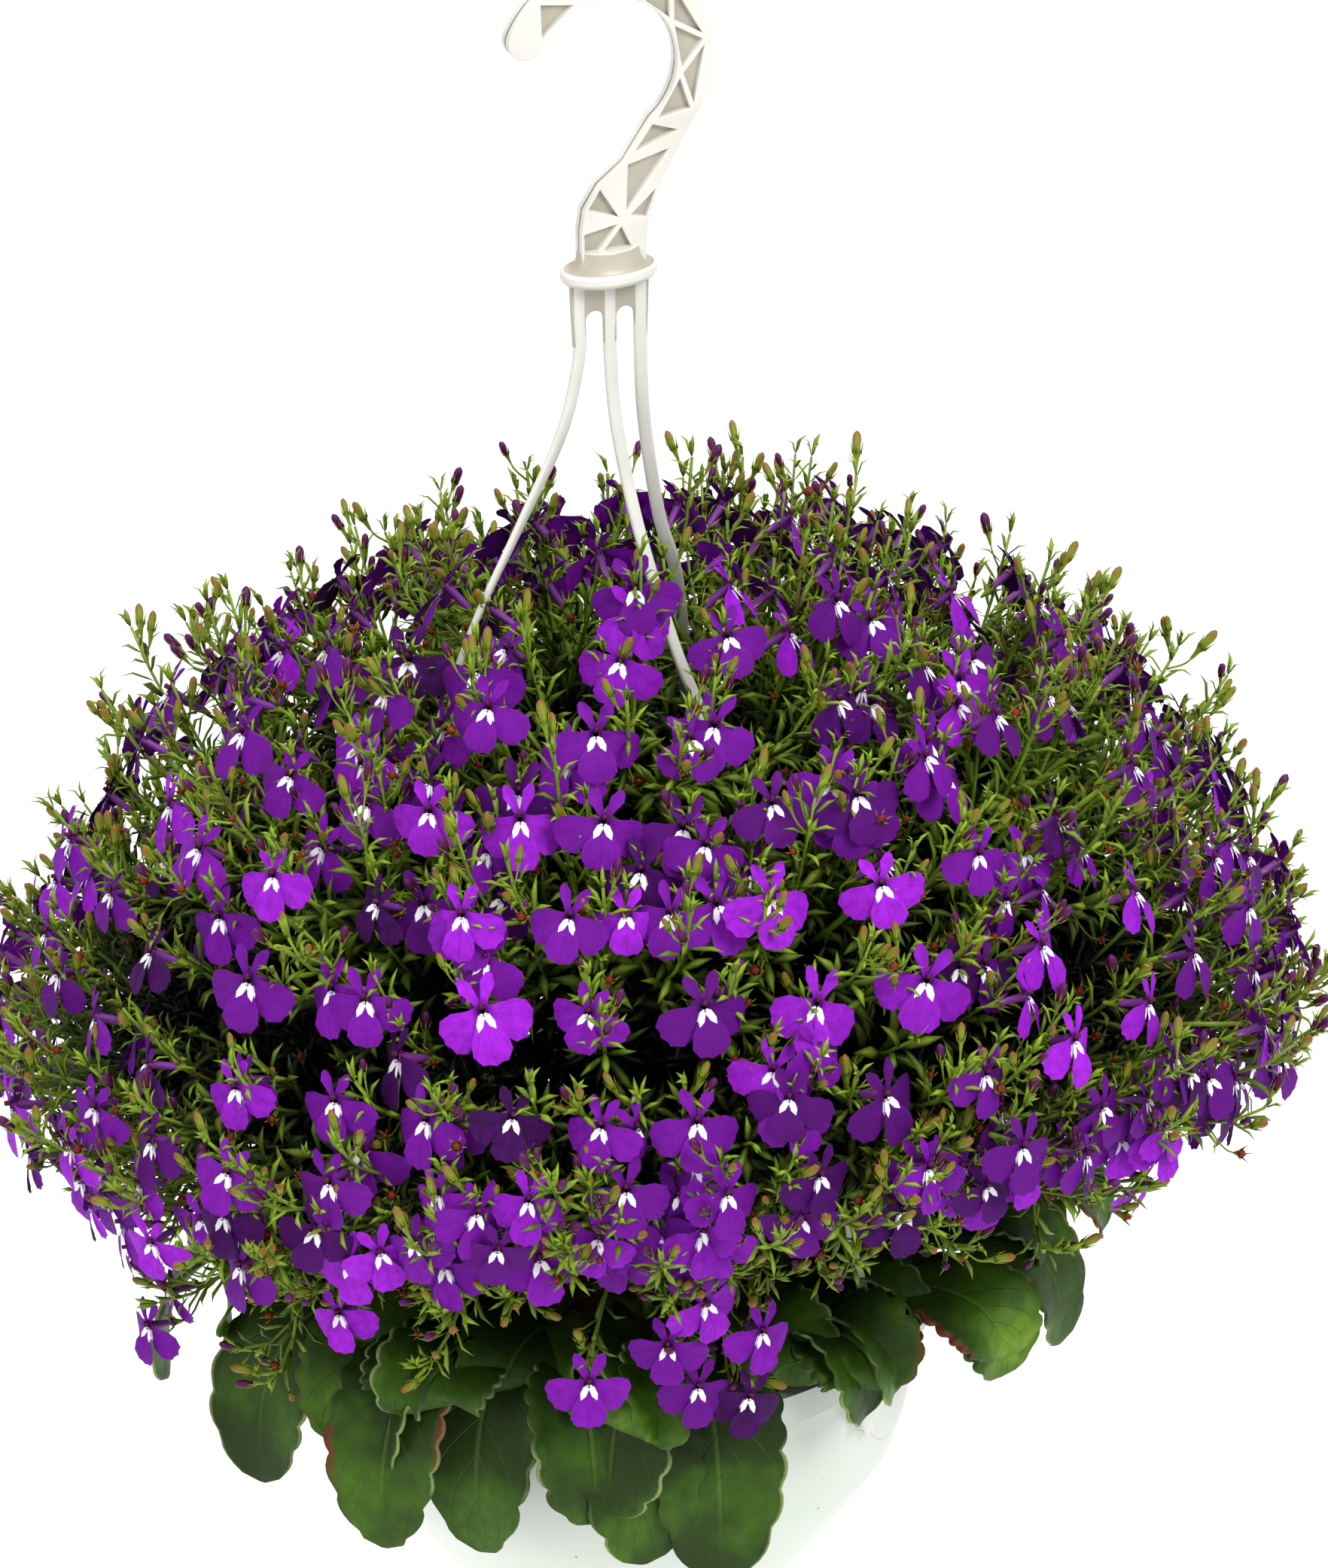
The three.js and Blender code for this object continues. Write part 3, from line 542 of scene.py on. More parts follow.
class Bend:
    """A smooth curve from one end to the other, pulled by two handles."""

    def __init__(self, *points):
        self.points = [np.asarray(point, float) for point in points]

    def at(self, t):
        a, b, c, d = self.points
        s = 1 - t
        return s**3 * a + 3 * s * s * t * b + 3 * s * t * t * c + t**3 * d

    def heading(self, t):
        a, b, c, d = self.points
        s = 1 - t
        return unit(3 * s * s * (b - a) + 6 * s * t * (c - b) + 3 * t * t * (d - c))

    def length(self):
        marks = [self.at(i / 12) for i in range(13)]
        return sum(np.linalg.norm(b - a) for a, b in zip(marks, marks[1:]))

    def marks(self, count):
        return [self.at(i / (count - 1)) for i in range(count)]


# ---- Pot, drip tray and compost -----------------------------------------------------------

STRAP_ANGLES = (-60, 60, 180)
STRAP_SEAT = 86.2
STRAP_WIDTH = 3.6
POT_PROFILE = (
    (0, 14), (46, 14), (51.4, 27.15), (56.4, 27.15), (62.5, 35.4), (68, 43), (73.4, 51.2),
    (78, 59), (81, 69.5), (83.4, 82), (84.3, 92), (84.8, 101), (88.6, 101), (88.6, 110),
    (84.4, 110), (81.6, 88), (79.2, 74), (75.6, 60), (64, 45), (50, 28.8), (44.4, 16.2), (0, 16.2),
)
TRAY_PROFILE = ((0, 0), (41, 0), (54.6, 26.8), (53, 26.8), (40, 1.8), (0, 1.8))
COMPOST_PROFILE = (
    (0, 16.8), (43.8, 16.8), (49.2, 29.4), (74.8, 60.4), (81.2, 97), (77, 100), (70, 100.4),
    (62, 99.4), (54, 100.6), (46, 99.6), (38, 100.8), (30, 99.5), (22, 100.5), (12, 100), (0, 100),
)
LUG_WIDTH, LUG_INNER, LUG_OUTER, LUG_BOTTOM, LUG_TOP = 14, 83.6, 89.6, 89, 102
SLOT_DEPTH, SLOT_WIDTH, SLOT_TOP = 2.6, STRAP_WIDTH + 1.2, 111
POT_SLOT_BOTTOM, LUG_SLOT_BOTTOM = 96, 87
DRAIN_TURNS, DRAIN_PLACE, DRAIN_RADIUS = (45, 135, 225, 315), 30, 4
CRUMB_SIZE, CRUMB_RISE, CRUMB_BOTTOM, CRUMB_REACH = 6, 3, 98, 78
SHARP_TURN = dict(limit_method="ANGLE", angle_limit=0.6)


def standing_block(name, radius, degrees, depth, width, bottom, top):
    piece = start(bpy.ops.mesh.primitive_cube_add, name, size=MM)
    bpy.ops.mesh.select_all(action="SELECT")
    bpy.ops.transform.resize(value=(depth, width, top - bottom))
    bpy.ops.transform.translate(value=(radius * MM, 0, (bottom + top) / 2 * MM))
    close(piece, smooth=0)
    piece.data.transform(Matrix.Rotation(math.radians(degrees), 4, "Z"))
    return piece


def cut(piece, tool):
    modify(piece, "BOOLEAN", operation="DIFFERENCE", object=tool, solver="EXACT")
    bpy.data.objects.remove(tool)


def cut_slot(piece, angle, bottom):
    cut(piece, standing_block("slot", STRAP_SEAT, angle, SLOT_DEPTH, SLOT_WIDTH, bottom, SLOT_TOP))


def make_pot(plastic):
    pot = close(turn_profile("white_pot", POT_PROFILE), plastic)
    for angle in STRAP_ANGLES:
        cut_slot(pot, angle, POT_SLOT_BOTTOM)
    for angle in DRAIN_TURNS:
        spot = polar(DRAIN_PLACE * MM, angle, 15 * MM)
        how = dict(vertices=32, radius=DRAIN_RADIUS * MM, depth=6 * MM, location=spot)
        cut(pot, close(start(bpy.ops.mesh.primitive_cylinder_add, "drain", **how)))
    round_edges(pot, 0.5, **SHARP_TURN)
    lugs = []
    for angle in STRAP_ANGLES:
        middle = (LUG_INNER + LUG_OUTER) / 2
        depth = LUG_OUTER - LUG_INNER
        lug = standing_block("lug", middle, angle, depth, LUG_WIDTH, LUG_BOTTOM, LUG_TOP)
        round_edges(lug, 0.8, 3)
        cut_slot(lug, angle, LUG_SLOT_BOTTOM)
        paint(lug, plastic)
        lugs.append(lug)
    pot = join("white_pot", pot, *lugs)
    smooth_by(35)
    dress(pot, "pot_plastic", "pot")


def make_tray(plastic):
    tray = close(turn_profile("white_drip_tray", TRAY_PROFILE), plastic)
    round_edges(tray, 0.4, **SHARP_TURN)
    smooth_by(35)
    dress(tray, "pot_plastic", "drip_tray")


def make_compost(soil):
    piece = close(turn_profile("compost_bed", COMPOST_PROFILE, 96), soil)
    clouds = bpy.data.textures.new("crumbs", "CLOUDS")
    clouds.noise_scale = CRUMB_SIZE * MM
    top = piece.vertex_groups.new(name="top")
    upper = [v.index for v in piece.data.vertices
             if v.co.z > CRUMB_BOTTOM * MM and v.co.xy.length < CRUMB_REACH * MM]
    top.add(upper, 1, "REPLACE")
    how = dict(vertex_group="top", direction="Z", texture_coords="LOCAL")
    modify(piece, "DISPLACE", texture=clouds, strength=CRUMB_RISE * MM, **how)
    dress(piece, "compost", "compost")


# ---- Hanger -------------------------------------------------------------------------------

HOOK_CENTRE = (-0.6, 469.6)  # x and z
HOOK_INNER, HOOK_OUTER = 19.8, 29.8
HOOK_TIP = 154
HOOK_THICKNESS = 5
RIB_EDGE, RIB_KNOTS = 1.3, 11
POCKET_SHRINK, NARROW_SHRINK = 0.2, 0.38
POCKET_END = -52
NECK_INSIDE = ((4, 443), (-3.2, 437.5), (-7.4, 431), (-8.4, 425), (-8.4, 413))
NECK_OUTSIDE = ((9.6, 413), (10.2, 425), (14.6, 437))
NECK_HUB = (3.2, 427)
NECK_CORNER = (18.4, 446.5)
NECK_FAN = ((0, 8), (1, 2), (3, 4), (4, 5), (6, 7))  # which corners each pocket joins to the hub
NECK_POCKET = ((5.6, 444.8), (11.8, 453.1), (20.6, 450))
WEB_THICKNESS = 1.4
FLANGE_HEIGHT, FLANGE_SQUASH = 410, 0.62
DISH_BOTTOM, DISH_INSIDE, DISH_OUTSIDE = 3.4, 8.4, 12
FLANGE_PROFILE = (
    (0, 0), (12.2, 0), (13.4, 1.2), (13.4, 3.2), (12.6, 4), (11.4, 3.5), (10.2, 4.4),
    (9.2, 6.4), (8.6, 9.2), (0, 9.2),
)
STRAP_SPREAD = 8.7
STRAP_TOP = 396
STRAP_THICKNESS = 2
STRAP_BARB = 1.8  # how many times wider the barb near a strap's end is
STRAP_ROUND = 0.7  # 1 for an oval bar, less for a squarer one
SEAT_HEIGHTS = (122, 112, 89, 84)
STRAP_ROUTES = (
    (-60, ((0, 0, 411), (0, 0, 396), (0, 0, 389), (0.9, -1.8, 368), (4.4, -7.8, 340),
           (10.2, -17.6, 309), (17, -29.4, 280), (30, -52, 205), (38.2, -66.2, 154))),
    (180, ((-8.7, 0, 411), (-8.7, 0, 396), (-8.7, 0, 389), (-14, 0, 368), (-27, 0, 342),
           (-42.5, 0, 311), (-60, 0, 262), (-75, 0, 200), (-83.4, 0, 145))),
    (60, ((8.7, 0, 411), (8.7, 0, 396), (8.7, 0, 389), (10.8, 3.2, 366), (17.4, 9.6, 334),
          (26, 18, 309), (37.4, 40, 256), (43.2, 60, 196), (43.9, 71.4, 142))),
)


def arc(centre, radius, begin, end, steps):
    turns = np.radians(np.linspace(begin, end, steps + 1))
    return [(centre[0] + radius * math.cos(a), centre[1] + radius * math.sin(a)) for a in turns]


def on_hook(radius, turn):
    return arc(HOOK_CENTRE, radius, turn, turn, 0)[0]


def turns_left(outline):
    pairs = zip(outline, outline[1:] + outline[:1])
    return sum(a[0] * b[1] - b[0] * a[1] for a, b in pairs) > 0


def moulded_plate(name, outline, holes, thickness, rounding, finish):
    """A flat moulding in x and z, with rounded edges and open pockets."""
    curve = bpy.data.curves.new(name, "CURVE")
    curve.dimensions, curve.fill_mode = "2D", "BOTH"
    curve.extrude = (thickness / 2 - rounding) * MM
    curve.bevel_depth, curve.bevel_resolution = rounding * MM, 2
    curve.offset = -rounding * MM
    lines = []
    for shape, leftward in [(outline, True)] + [(hole, False) for hole in holes]:
        shape = list(shape) if turns_left(shape) == leftward else list(shape)[::-1]
        lines.append([((x * MM, z * MM, 0), 1) for x, z in shape])
    piece = draw_lines(name, curve, lines, closed=True)
    piece.data.transform(Matrix.Rotation(math.radians(90), 4, "X"))
    bpy.ops.object.mode_set(mode="EDIT")
    mend()
    return close(piece, finish, smooth=50)


def hook_outline():
    """The hook's edge: down its outside, round the neck, up its inside and round the tip."""
    outside = arc(HOOK_CENTRE, HOOK_OUTER, HOOK_TIP, -38, 60)
    inside = arc(HOOK_CENTRE, HOOK_INNER, POCKET_END, HOOK_TIP, 60)
    half = (HOOK_OUTER - HOOK_INNER) / 2
    end = on_hook(HOOK_INNER + half, HOOK_TIP)
    tip = arc(end, half, HOOK_TIP + 180, HOOK_TIP, 10)[1:-1]
    return [*outside, *reversed(NECK_OUTSIDE), *reversed(NECK_INSIDE), *inside, *tip]


def hook_pockets():
    """Triangles that leave a zigzag of ribs between the hook's two edges."""
    knots = []
    step = (HOOK_TIP - 2 - POCKET_END) / (RIB_KNOTS - 1)
    for knot in range(RIB_KNOTS):
        radius = HOOK_OUTER - RIB_EDGE if knot % 2 else HOOK_INNER + RIB_EDGE
        knots.append(on_hook(radius, HOOK_TIP - 2 - step * knot))
    corners = [*NECK_INSIDE, *NECK_OUTSIDE, NECK_CORNER]
    fan = [(NECK_HUB, corners[a], corners[b]) for a, b in NECK_FAN]
    pockets = []
    for triangle in [knots[i : i + 3] for i in range(RIB_KNOTS - 2)] + [NECK_POCKET] + fan:
        shrink = NARROW_SHRINK if triangle is fan[-1] else POCKET_SHRINK
        triangle = np.array(triangle)
        pockets.append([tuple(p) for p in triangle + (triangle.mean(0) - triangle) * shrink])
    return pockets


def smooth_route(points, steps):
    """Even marks on a smooth curve through the points."""
    points = np.array([points[0], *points, points[-1]], float)
    dense = []
    for i in range(len(points) - 3):
        a, b, c, d = points[i : i + 4]
        for t in np.linspace(0, 1, 12, endpoint=False):
            bend = (2 * a - 5 * b + 4 * c - d) * t * t + (3 * b - a - 3 * c + d) * t**3
            dense.append(0.5 * (2 * b + (c - a) * t + bend))
    dense.append(points[-1])
    dense = np.array(dense)
    run = np.concatenate([[0], np.cumsum(np.linalg.norm(np.diff(dense, axis=0), axis=1))])
    marks = np.linspace(0, run[-1], steps + 1)
    return np.stack([np.interp(marks, run, dense[:, axis]) for axis in range(3)], 1)


def make_strap(seat_angle, route, finish):
    """A rounded bar, drawn out step by step and then laid along its route."""
    steps = 56
    seat = [polar(STRAP_SEAT, seat_angle, height) for height in SEAT_HEIGHTS]
    marks = smooth_route([*route, *seat], steps)
    headings = np.gradient(marks, axis=0)
    how = dict(vertices=14, radius=0.5, fill_type="NGON", rotation=(math.radians(90), 0, 0))
    piece = start(bpy.ops.mesh.primitive_circle_add, "strap", **how)
    bpy.ops.mesh.select_mode(type="FACE")
    bpy.ops.mesh.select_all(action="SELECT")
    for _ in range(steps):
        bpy.ops.mesh.extrude_region_move(TRANSFORM_OT_translate={"value": (0, 1, 0)})
    mend()
    close(piece, finish)
    seat_side = polar(1, seat_angle + 90)
    if seat_side[0] < 0:
        seat_side = -seat_side
    placed = []
    for across, step, up in corners_of(piece):
        i = int(round(step))
        share = min(1.0, 2 * i / steps)
        heading = unit(headings[i])
        side = np.array([1.0, 0, 0]) * (1 - share) + seat_side * share
        side = unit(side - heading * side.dot(heading))
        top = np.cross(side, heading)
        flare = STRAP_BARB if i == steps - 1 else 1.0
        across = math.copysign(abs(2 * across) ** STRAP_ROUND, across) * STRAP_WIDTH / 2 * flare
        up = math.copysign(abs(2 * up) ** STRAP_ROUND, up) * STRAP_THICKNESS / 2
        placed.append(marks[i] + side * across + top * up)
    move_corners(piece.data, placed)
    piece.data.update()
    bpy.ops.object.mode_set(mode="EDIT")
    mend()
    bpy.ops.object.mode_set(mode="OBJECT")
    return piece


def make_hanger(plastic, painted_recess_shade):
    outline = hook_outline()
    ribs = moulded_plate("ribs", outline, hook_pockets(), HOOK_THICKNESS, 0.25, plastic)
    # the web behind the pockets, the flange's dish and the skirt take a darker plastic: painted
    # shade in the hollows
    web = moulded_plate("web", outline, [], WEB_THICKNESS, 0.2, painted_recess_shade)
    flange = close(turn_profile("flange", FLANGE_PROFILE, 96), plastic)
    flange.data.materials.append(painted_recess_shade)
    # the flange's dish gets the darker plastic as painted shade
    for face in flange.data.polygons:
        out, height = face.center.xy.length / MM, face.center.z / MM
        dish = height > DISH_BOTTOM and DISH_INSIDE < out < DISH_OUTSIDE
        face.material_index = 1 if dish else 0
    flange.data.transform(Matrix.Diagonal((1, FLANGE_SQUASH, 1, 1)))
    flange.data.transform(Matrix.Translation((0, 0, FLANGE_HEIGHT * MM)))
    round_edges(flange, 0.35, limit_method="ANGLE", angle_limit=0.5)
    half = STRAP_WIDTH / 2
    radius = STRAP_SPREAD / 2 - half
    legs, edge, high = STRAP_TOP - 4, STRAP_SPREAD + half, STRAP_TOP + 3
    right = arc((STRAP_SPREAD / 2, high), radius, 180, 0, 14)
    left = arc((-STRAP_SPREAD / 2, high), radius, 180, 0, 14)
    arches = [
        (edge + 0.8, FLANGE_HEIGHT + 1), (-edge - 0.8, FLANGE_HEIGHT + 1), (-edge, legs),
        (half - STRAP_SPREAD, legs), *left, (-half, legs), (half, legs), *right,
        (STRAP_SPREAD - half, legs), (edge, legs),
    ]
    skirt = moulded_plate("skirt", arches, [], WEB_THICKNESS, 0.3, painted_recess_shade)
    straps = [make_strap(angle, route, plastic) for angle, route in STRAP_ROUTES]
    hanger = join("hanger_moulding", ribs, web, flange, skirt, *straps)
    smooth_by(40)
    dress(hanger, "hanger_plastic", "hook", "strap_front", "strap_left", "strap_back")


# ---- Broad leaves over the rim ------------------------------------------------------------

# angle, sweep, tip radius, tip height, width, twist
BROAD_LEAVES = (
    (-170, -4, 114, 70, 31, -34), (-151, 4, 114, 74, 31, -14), (-133, -3, 98, 70, 34, 8),
    (-113, 4, 100, 72, 32, -10), (-97, 0, 101, 64, 34, 12), (-75, 3, 102, 104, 26, -22),
    (-50, -2, 120, 112, 28, 26), (-31, 4, 124, 86, 30, 28), (-10, -4, 138, 104, 27, 18),
    (11, 3, 120, 76, 31, -10), (31, -4, 128, 96, 28, 16), (51, 2, 108, 72, 30, -8),
    (70, 4, 124, 94, 29, 20), (91, -3, 106, 70, 33, -12), (112, 3, 124, 92, 28, 14),
    (133, -4, 106, 70, 32, -9), (160, 4, 130, 80, 29, 18),
)
# shorter leaves that lie over the first ones
RIM_LEAVES = (
    (-163, 7, 108, 98, 28, -30), (-144, -7, 106, 92, 30, 26), (-124, 8, 104, 88, 32, -28),
    (-107, -7, 103, 90, 33, 22), (-40, 5, 112, 108, 24, -30),
    (-20, -5, 120, 110, 26, 24), (22, 4, 112, 104, 27, -20), (60, -4, 110, 96, 28, 20),
    (101, 5, 108, 98, 29, -18), (146, -5, 110, 96, 28, 22),
    (-152, 9, 112, 122, 30, 34), (-134, -8, 108, 118, 30, -36), (-116, 7, 106, 116, 33, 30),
    (-97, -8, 105, 119, 31, -34), (-79, 8, 104, 114, 30, 32), (-63, -6, 108, 112, 28, -30),
    (-54, 6, 116, 100, 27, 24), (-2, 6, 118, 118, 28, 28), (40, -6, 114, 116, 28, -26),
    (84, 6, 112, 114, 30, 28), (122, -6, 112, 116, 28, -30), (172, 6, 116, 112, 28, 24),
)
# leaves that lie over the compost inside the rim
INNER_LEAVES = (
    (-164, 8, 90, 118, 30, 20), (-148, -6, 94, 122, 29, -24), (-136, 7, 88, 112, 32, 18),
    (-124, -8, 92, 120, 30, -22), (-112, 6, 88, 114, 33, 24), (-101, -6, 92, 121, 30, -20),
    (-90, 8, 90, 115, 31, 22), (-79, -7, 94, 122, 30, -26), (-66, 6, 92, 116, 29, 20),
    (-48, -6, 94, 120, 28, -22), (-14, 6, 92, 118, 29, 20), (18, -6, 94, 120, 28, -20),
    (48, 6, 92, 118, 29, 22), (80, -6, 94, 120, 28, -22), (112, 6, 92, 118, 29, 20),
    (142, -6, 94, 120, 28, -20), (170, 6, 92, 118, 29, 22),
)
LEAF_ROOT, INNER_ROOT, SOIL_TOP, ROOT_DEPTH = 70, 46, 100, 12
STALK_SHARE = 0.3
LEAF_ROWS, LEAF_COLUMNS = 72, 8
LEAF_NOTCH, LEAF_TEETH, LEAF_HALF = 2.2, 9, 0.56
LEAF_CREST, LEAF_SHOULDER, LEAF_OVERHANG = 140, 134, 8
LEAF_THICKNESS, STALK_FOOT, STALK_TIP = 0.8, 1.35, 0.7


def model_broad_leaf():
    """A spoon-shaped leaf laid flat: one unit long, one unit from its middle to each side."""
    how = dict(x_subdivisions=LEAF_COLUMNS, y_subdivisions=1, size=2)
    leaf = start(bpy.ops.mesh.primitive_grid_add, "broad_leaf_pattern", **how)
    step = 1 / LEAF_ROWS
    pick(leaf, lambda spot: spot.y > 0)
    bpy.ops.transform.translate(value=(0, step - 1, 0))
    pick(leaf, lambda spot: spot.y < -0.5)
    bpy.ops.transform.translate(value=(0, 1, 0))
    pick(leaf, lambda spot: spot.y > step / 2)
    bpy.ops.mesh.select_mode(type="EDGE")
    for _ in range(LEAF_ROWS - 1):
        bpy.ops.mesh.extrude_region_move(TRANSFORM_OT_translate={"value": (0, step, 0)})
    close(leaf, smooth=0)
    return leaf


def leaf_outline(t):
    """Half the width of a broad leaf, as a share of its widest, along its length."""
    blade = max(0.0, (t - STALK_SHARE) / (1 - STALK_SHARE))
    if blade < 0.6:
        return math.sin(math.pi / 2 * min(1, blade / 0.5)) ** 0.75, blade
    return max(0.0, 1 - ((blade - 0.6) / 0.4) ** 2.5) ** 0.5, blade


def make_broad_leaf(pattern, finish, name, index, leaf, root=LEAF_ROOT):
    angle, sweep, tip_radius, tip_height, width, twist = leaf
    path = Bend(
        polar(root, angle, SOIL_TOP - ROOT_DEPTH),
        polar(root, angle, LEAF_CREST),
        polar(tip_radius + LEAF_OVERHANG, angle + sweep, LEAF_SHOULDER),
        polar(tip_radius, angle + sweep, tip_height),
    )
    piece = twin(pattern, Matrix.Identity(4))
    piece.name = name
    piece.data.materials.append(finish)
    placed, spread = [], []
    for across, t, _ in corners_of(piece):
        t = min(1.0, max(0.0, t))
        heading = path.heading(t)
        side = np.array(Matrix.Rotation(math.radians(twist * t), 3, Vector(heading))
                        @ Vector(polar(1, angle + sweep + 90)))
        side = unit(side - heading * side.dot(heading))
        up = np.cross(heading, side)
        full, blade = leaf_outline(t)
        edge = abs(across)
        notch = 1 - abs(math.sin(math.pi * (blade * LEAF_TEETH + 0.3 * index))) ** 0.6
        notch *= LEAF_NOTCH * edge**6 if 0.1 < blade < 0.98 else 0
        half = max(1.0, width * LEAF_HALF * full - notch)
        wave = jitter(index * 3.7 + round(blade * 4) + (across > 0), 1.0)
        wave = math.sin(blade * 9 + index * 2 + (2 if across > 0 else 0)) * 1.3 + 0.3 * wave
        cup = full * (2.2 * edge**2 + wave * edge**2) - 0.5 * full * (1 - edge)
        placed.append(path.at(t) + side * across * half + up * cup)
        spread.append((across / 2 + 0.5, blade))
    mesh = piece.data
    move_corners(mesh, placed)
    layer = mesh.uv_layers.new(name="leaf_face")
    order = np.empty(len(mesh.loops), np.int32)
    mesh.loops.foreach_get("vertex_index", order)
    layer.uv.foreach_set("vector", np.array(spread, np.float32)[order].ravel())
    store(mesh, "tone", np.full(len(mesh.vertices), chance(index * 7.3)))
    mesh.update()
    modify(piece, "SOLIDIFY", thickness=LEAF_THICKNESS * MM, offset=0)
    bpy.ops.object.shade_smooth()
    stalk = draw_stems("stalk", [(path.marks(14)[:6], STALK_FOOT, STALK_TIP)], finish)
    return join(name, piece, stalk)


# ---- Small shapes of the sprays -----------------------------------------------------------

BLOOM_MAP = 26  # millimetres of the bloom's face that its map covers
# from the throat: distance, half width, how far back
LOWER_LOBE = ((0.6, 1.1, 0), (2.7, 1.9, 0), (5.2, 3.4, 0.3), (7.8, 3.8, 0.9), (9.7, 2.4, 1.8))
UPPER_LOBE = ((0.4, 0.6, 0), (3.0, 0.9, 0), (5.4, 1.5, 0.4), (7.1, 0.8, 1.0))
SPRAY_FINISHES = []


def model_lobe(name, rows, columns, finish):
    """A petal lobe that hangs from the throat in the x-z plane, drawn out row by row."""
    upright = (math.radians(90), 0, 0)
    how = dict(x_subdivisions=columns, y_subdivisions=1, size=2 * MM, rotation=upright)
    lobe = start(bpy.ops.mesh.primitive_grid_add, name, **how)
    first, second = rows[0], rows[1]
    pick(lobe, lambda spot: spot.z > 0)
    bpy.ops.transform.resize(value=(first[1], 1, 1), center_override=(0, 0, 0))
    bpy.ops.transform.translate(value=(0, 0, (-1 - first[0]) * MM))
    pick(lobe, lambda spot: abs(spot.z + MM) < 0.01 * MM)
    bpy.ops.transform.resize(value=(second[1], 1, 1), center_override=(0, 0, 0))
    bpy.ops.transform.translate(value=(0, 0, (1 - second[0]) * MM))
    bpy.ops.mesh.select_mode(type="EDGE")
    for (near, narrow, ahead), (far, wide, behind) in zip(rows[1:], rows[2:]):
        move = {"value": (0, (behind - ahead) * MM, (near - far) * MM)}
        bpy.ops.mesh.extrude_region_move(TRANSFORM_OT_translate=move)
        bpy.ops.transform.resize(value=(wide / narrow, 1, 1), center_override=(0, 0, 0))
    last = rows[-1][0]
    pick(lobe, lambda spot: spot.z < (0.05 - last) * MM and abs(spot.x) < 0.1 * MM)
    bpy.ops.transform.translate(value=(0, 0, -0.5 * MM))
    pick(lobe, lambda spot: abs(spot.x) < 0.1 * MM)
    bpy.ops.transform.translate(value=(0, 0.35 * MM, 0))
    face_outward()
    return close(lobe, finish)


def ripen(piece, low, high):
    """Keeps the ripeness of each corner, from low to high along y."""
    along = corners_of(piece)[:, 1]
    share = (along - along.min()) / max(np.ptp(along), 1e-9)
    store(piece.data, "ripeness", low + (high - low) * share)
    return piece


def model_spike(name, length, radius, finish, low, high):
    """A needle along y, with its foot at the origin."""
    how = dict(vertices=3, radius1=radius * MM, radius2=0, depth=length * MM,
               location=(0, length / 2 * MM, 0), rotation=(math.radians(-90), 0, 0))
    spike = start(bpy.ops.mesh.primitive_cone_add, name, **how)
    return ripen(close(spike, finish), low, high)


def ring_of_sepals(count, spike, radius, back, lean):
    """Needles round the y axis whose tips lean outward, forward along -y."""
    sepals = []
    for i in range(count):
        turn = Matrix.Rotation(math.tau * i / count, 4, "Y")
        place = Matrix.Translation((radius * MM, back * MM, 0))
        tilt = Matrix.Rotation(math.radians(180 + lean), 4, "Z")
        sepals.append(twin(spike, turn @ place @ tilt))
    bpy.data.objects.remove(spike)
    return sepals


def model_cup(name, rings, sides, finish, low, high, caps="NOTHING"):
    """A little vessel round the y axis: y and radius of each ring."""
    (y, radius), *rest = rings
    how = dict(vertices=sides, radius=radius * MM, fill_type=caps, location=(0, y * MM, 0),
               rotation=(math.radians(90), 0, 0))
    cup = start(bpy.ops.mesh.primitive_circle_add, name, **how)
    bpy.ops.mesh.select_all(action="SELECT")
    bpy.ops.mesh.select_mode(type="EDGE" if caps == "NOTHING" else "FACE")
    here = y
    for further, wide in rest:
        move = {"value": (0, (further - here) * MM, 0)}
        bpy.ops.mesh.extrude_region_move(TRANSFORM_OT_translate=move)
        size = wide / radius
        bpy.ops.transform.resize(value=(size, 1, size), center_override=(0, further * MM, 0))
        here, radius = further, wide
    mend()
    return ripen(close(cup, finish), low, high)


class Pattern:
    """A finished small shape, ready to be copied into the sprays many times over."""

    def __init__(self, piece):
        mesh = piece.data
        self.corners = corners_of(piece) / MM
        self.order = np.empty(len(mesh.loops), np.int32)
        mesh.loops.foreach_get("vertex_index", self.order)
        self.starts = np.empty(len(mesh.polygons), np.int32)
        mesh.polygons.foreach_get("loop_start", self.starts)
        own = [SPRAY_FINISHES.index(finish) for finish in mesh.materials]
        self.finish = np.array([own[face.material_index] for face in mesh.polygons], np.int32)
        self.ripeness = np.zeros(len(self.corners), np.float32)
        if "ripeness" in mesh.attributes:
            mesh.attributes["ripeness"].data.foreach_get("value", self.ripeness)
        self.face_map = self.corners[self.order][:, [0, 2]] / BLOOM_MAP + 0.5
        bpy.data.objects.remove(piece)


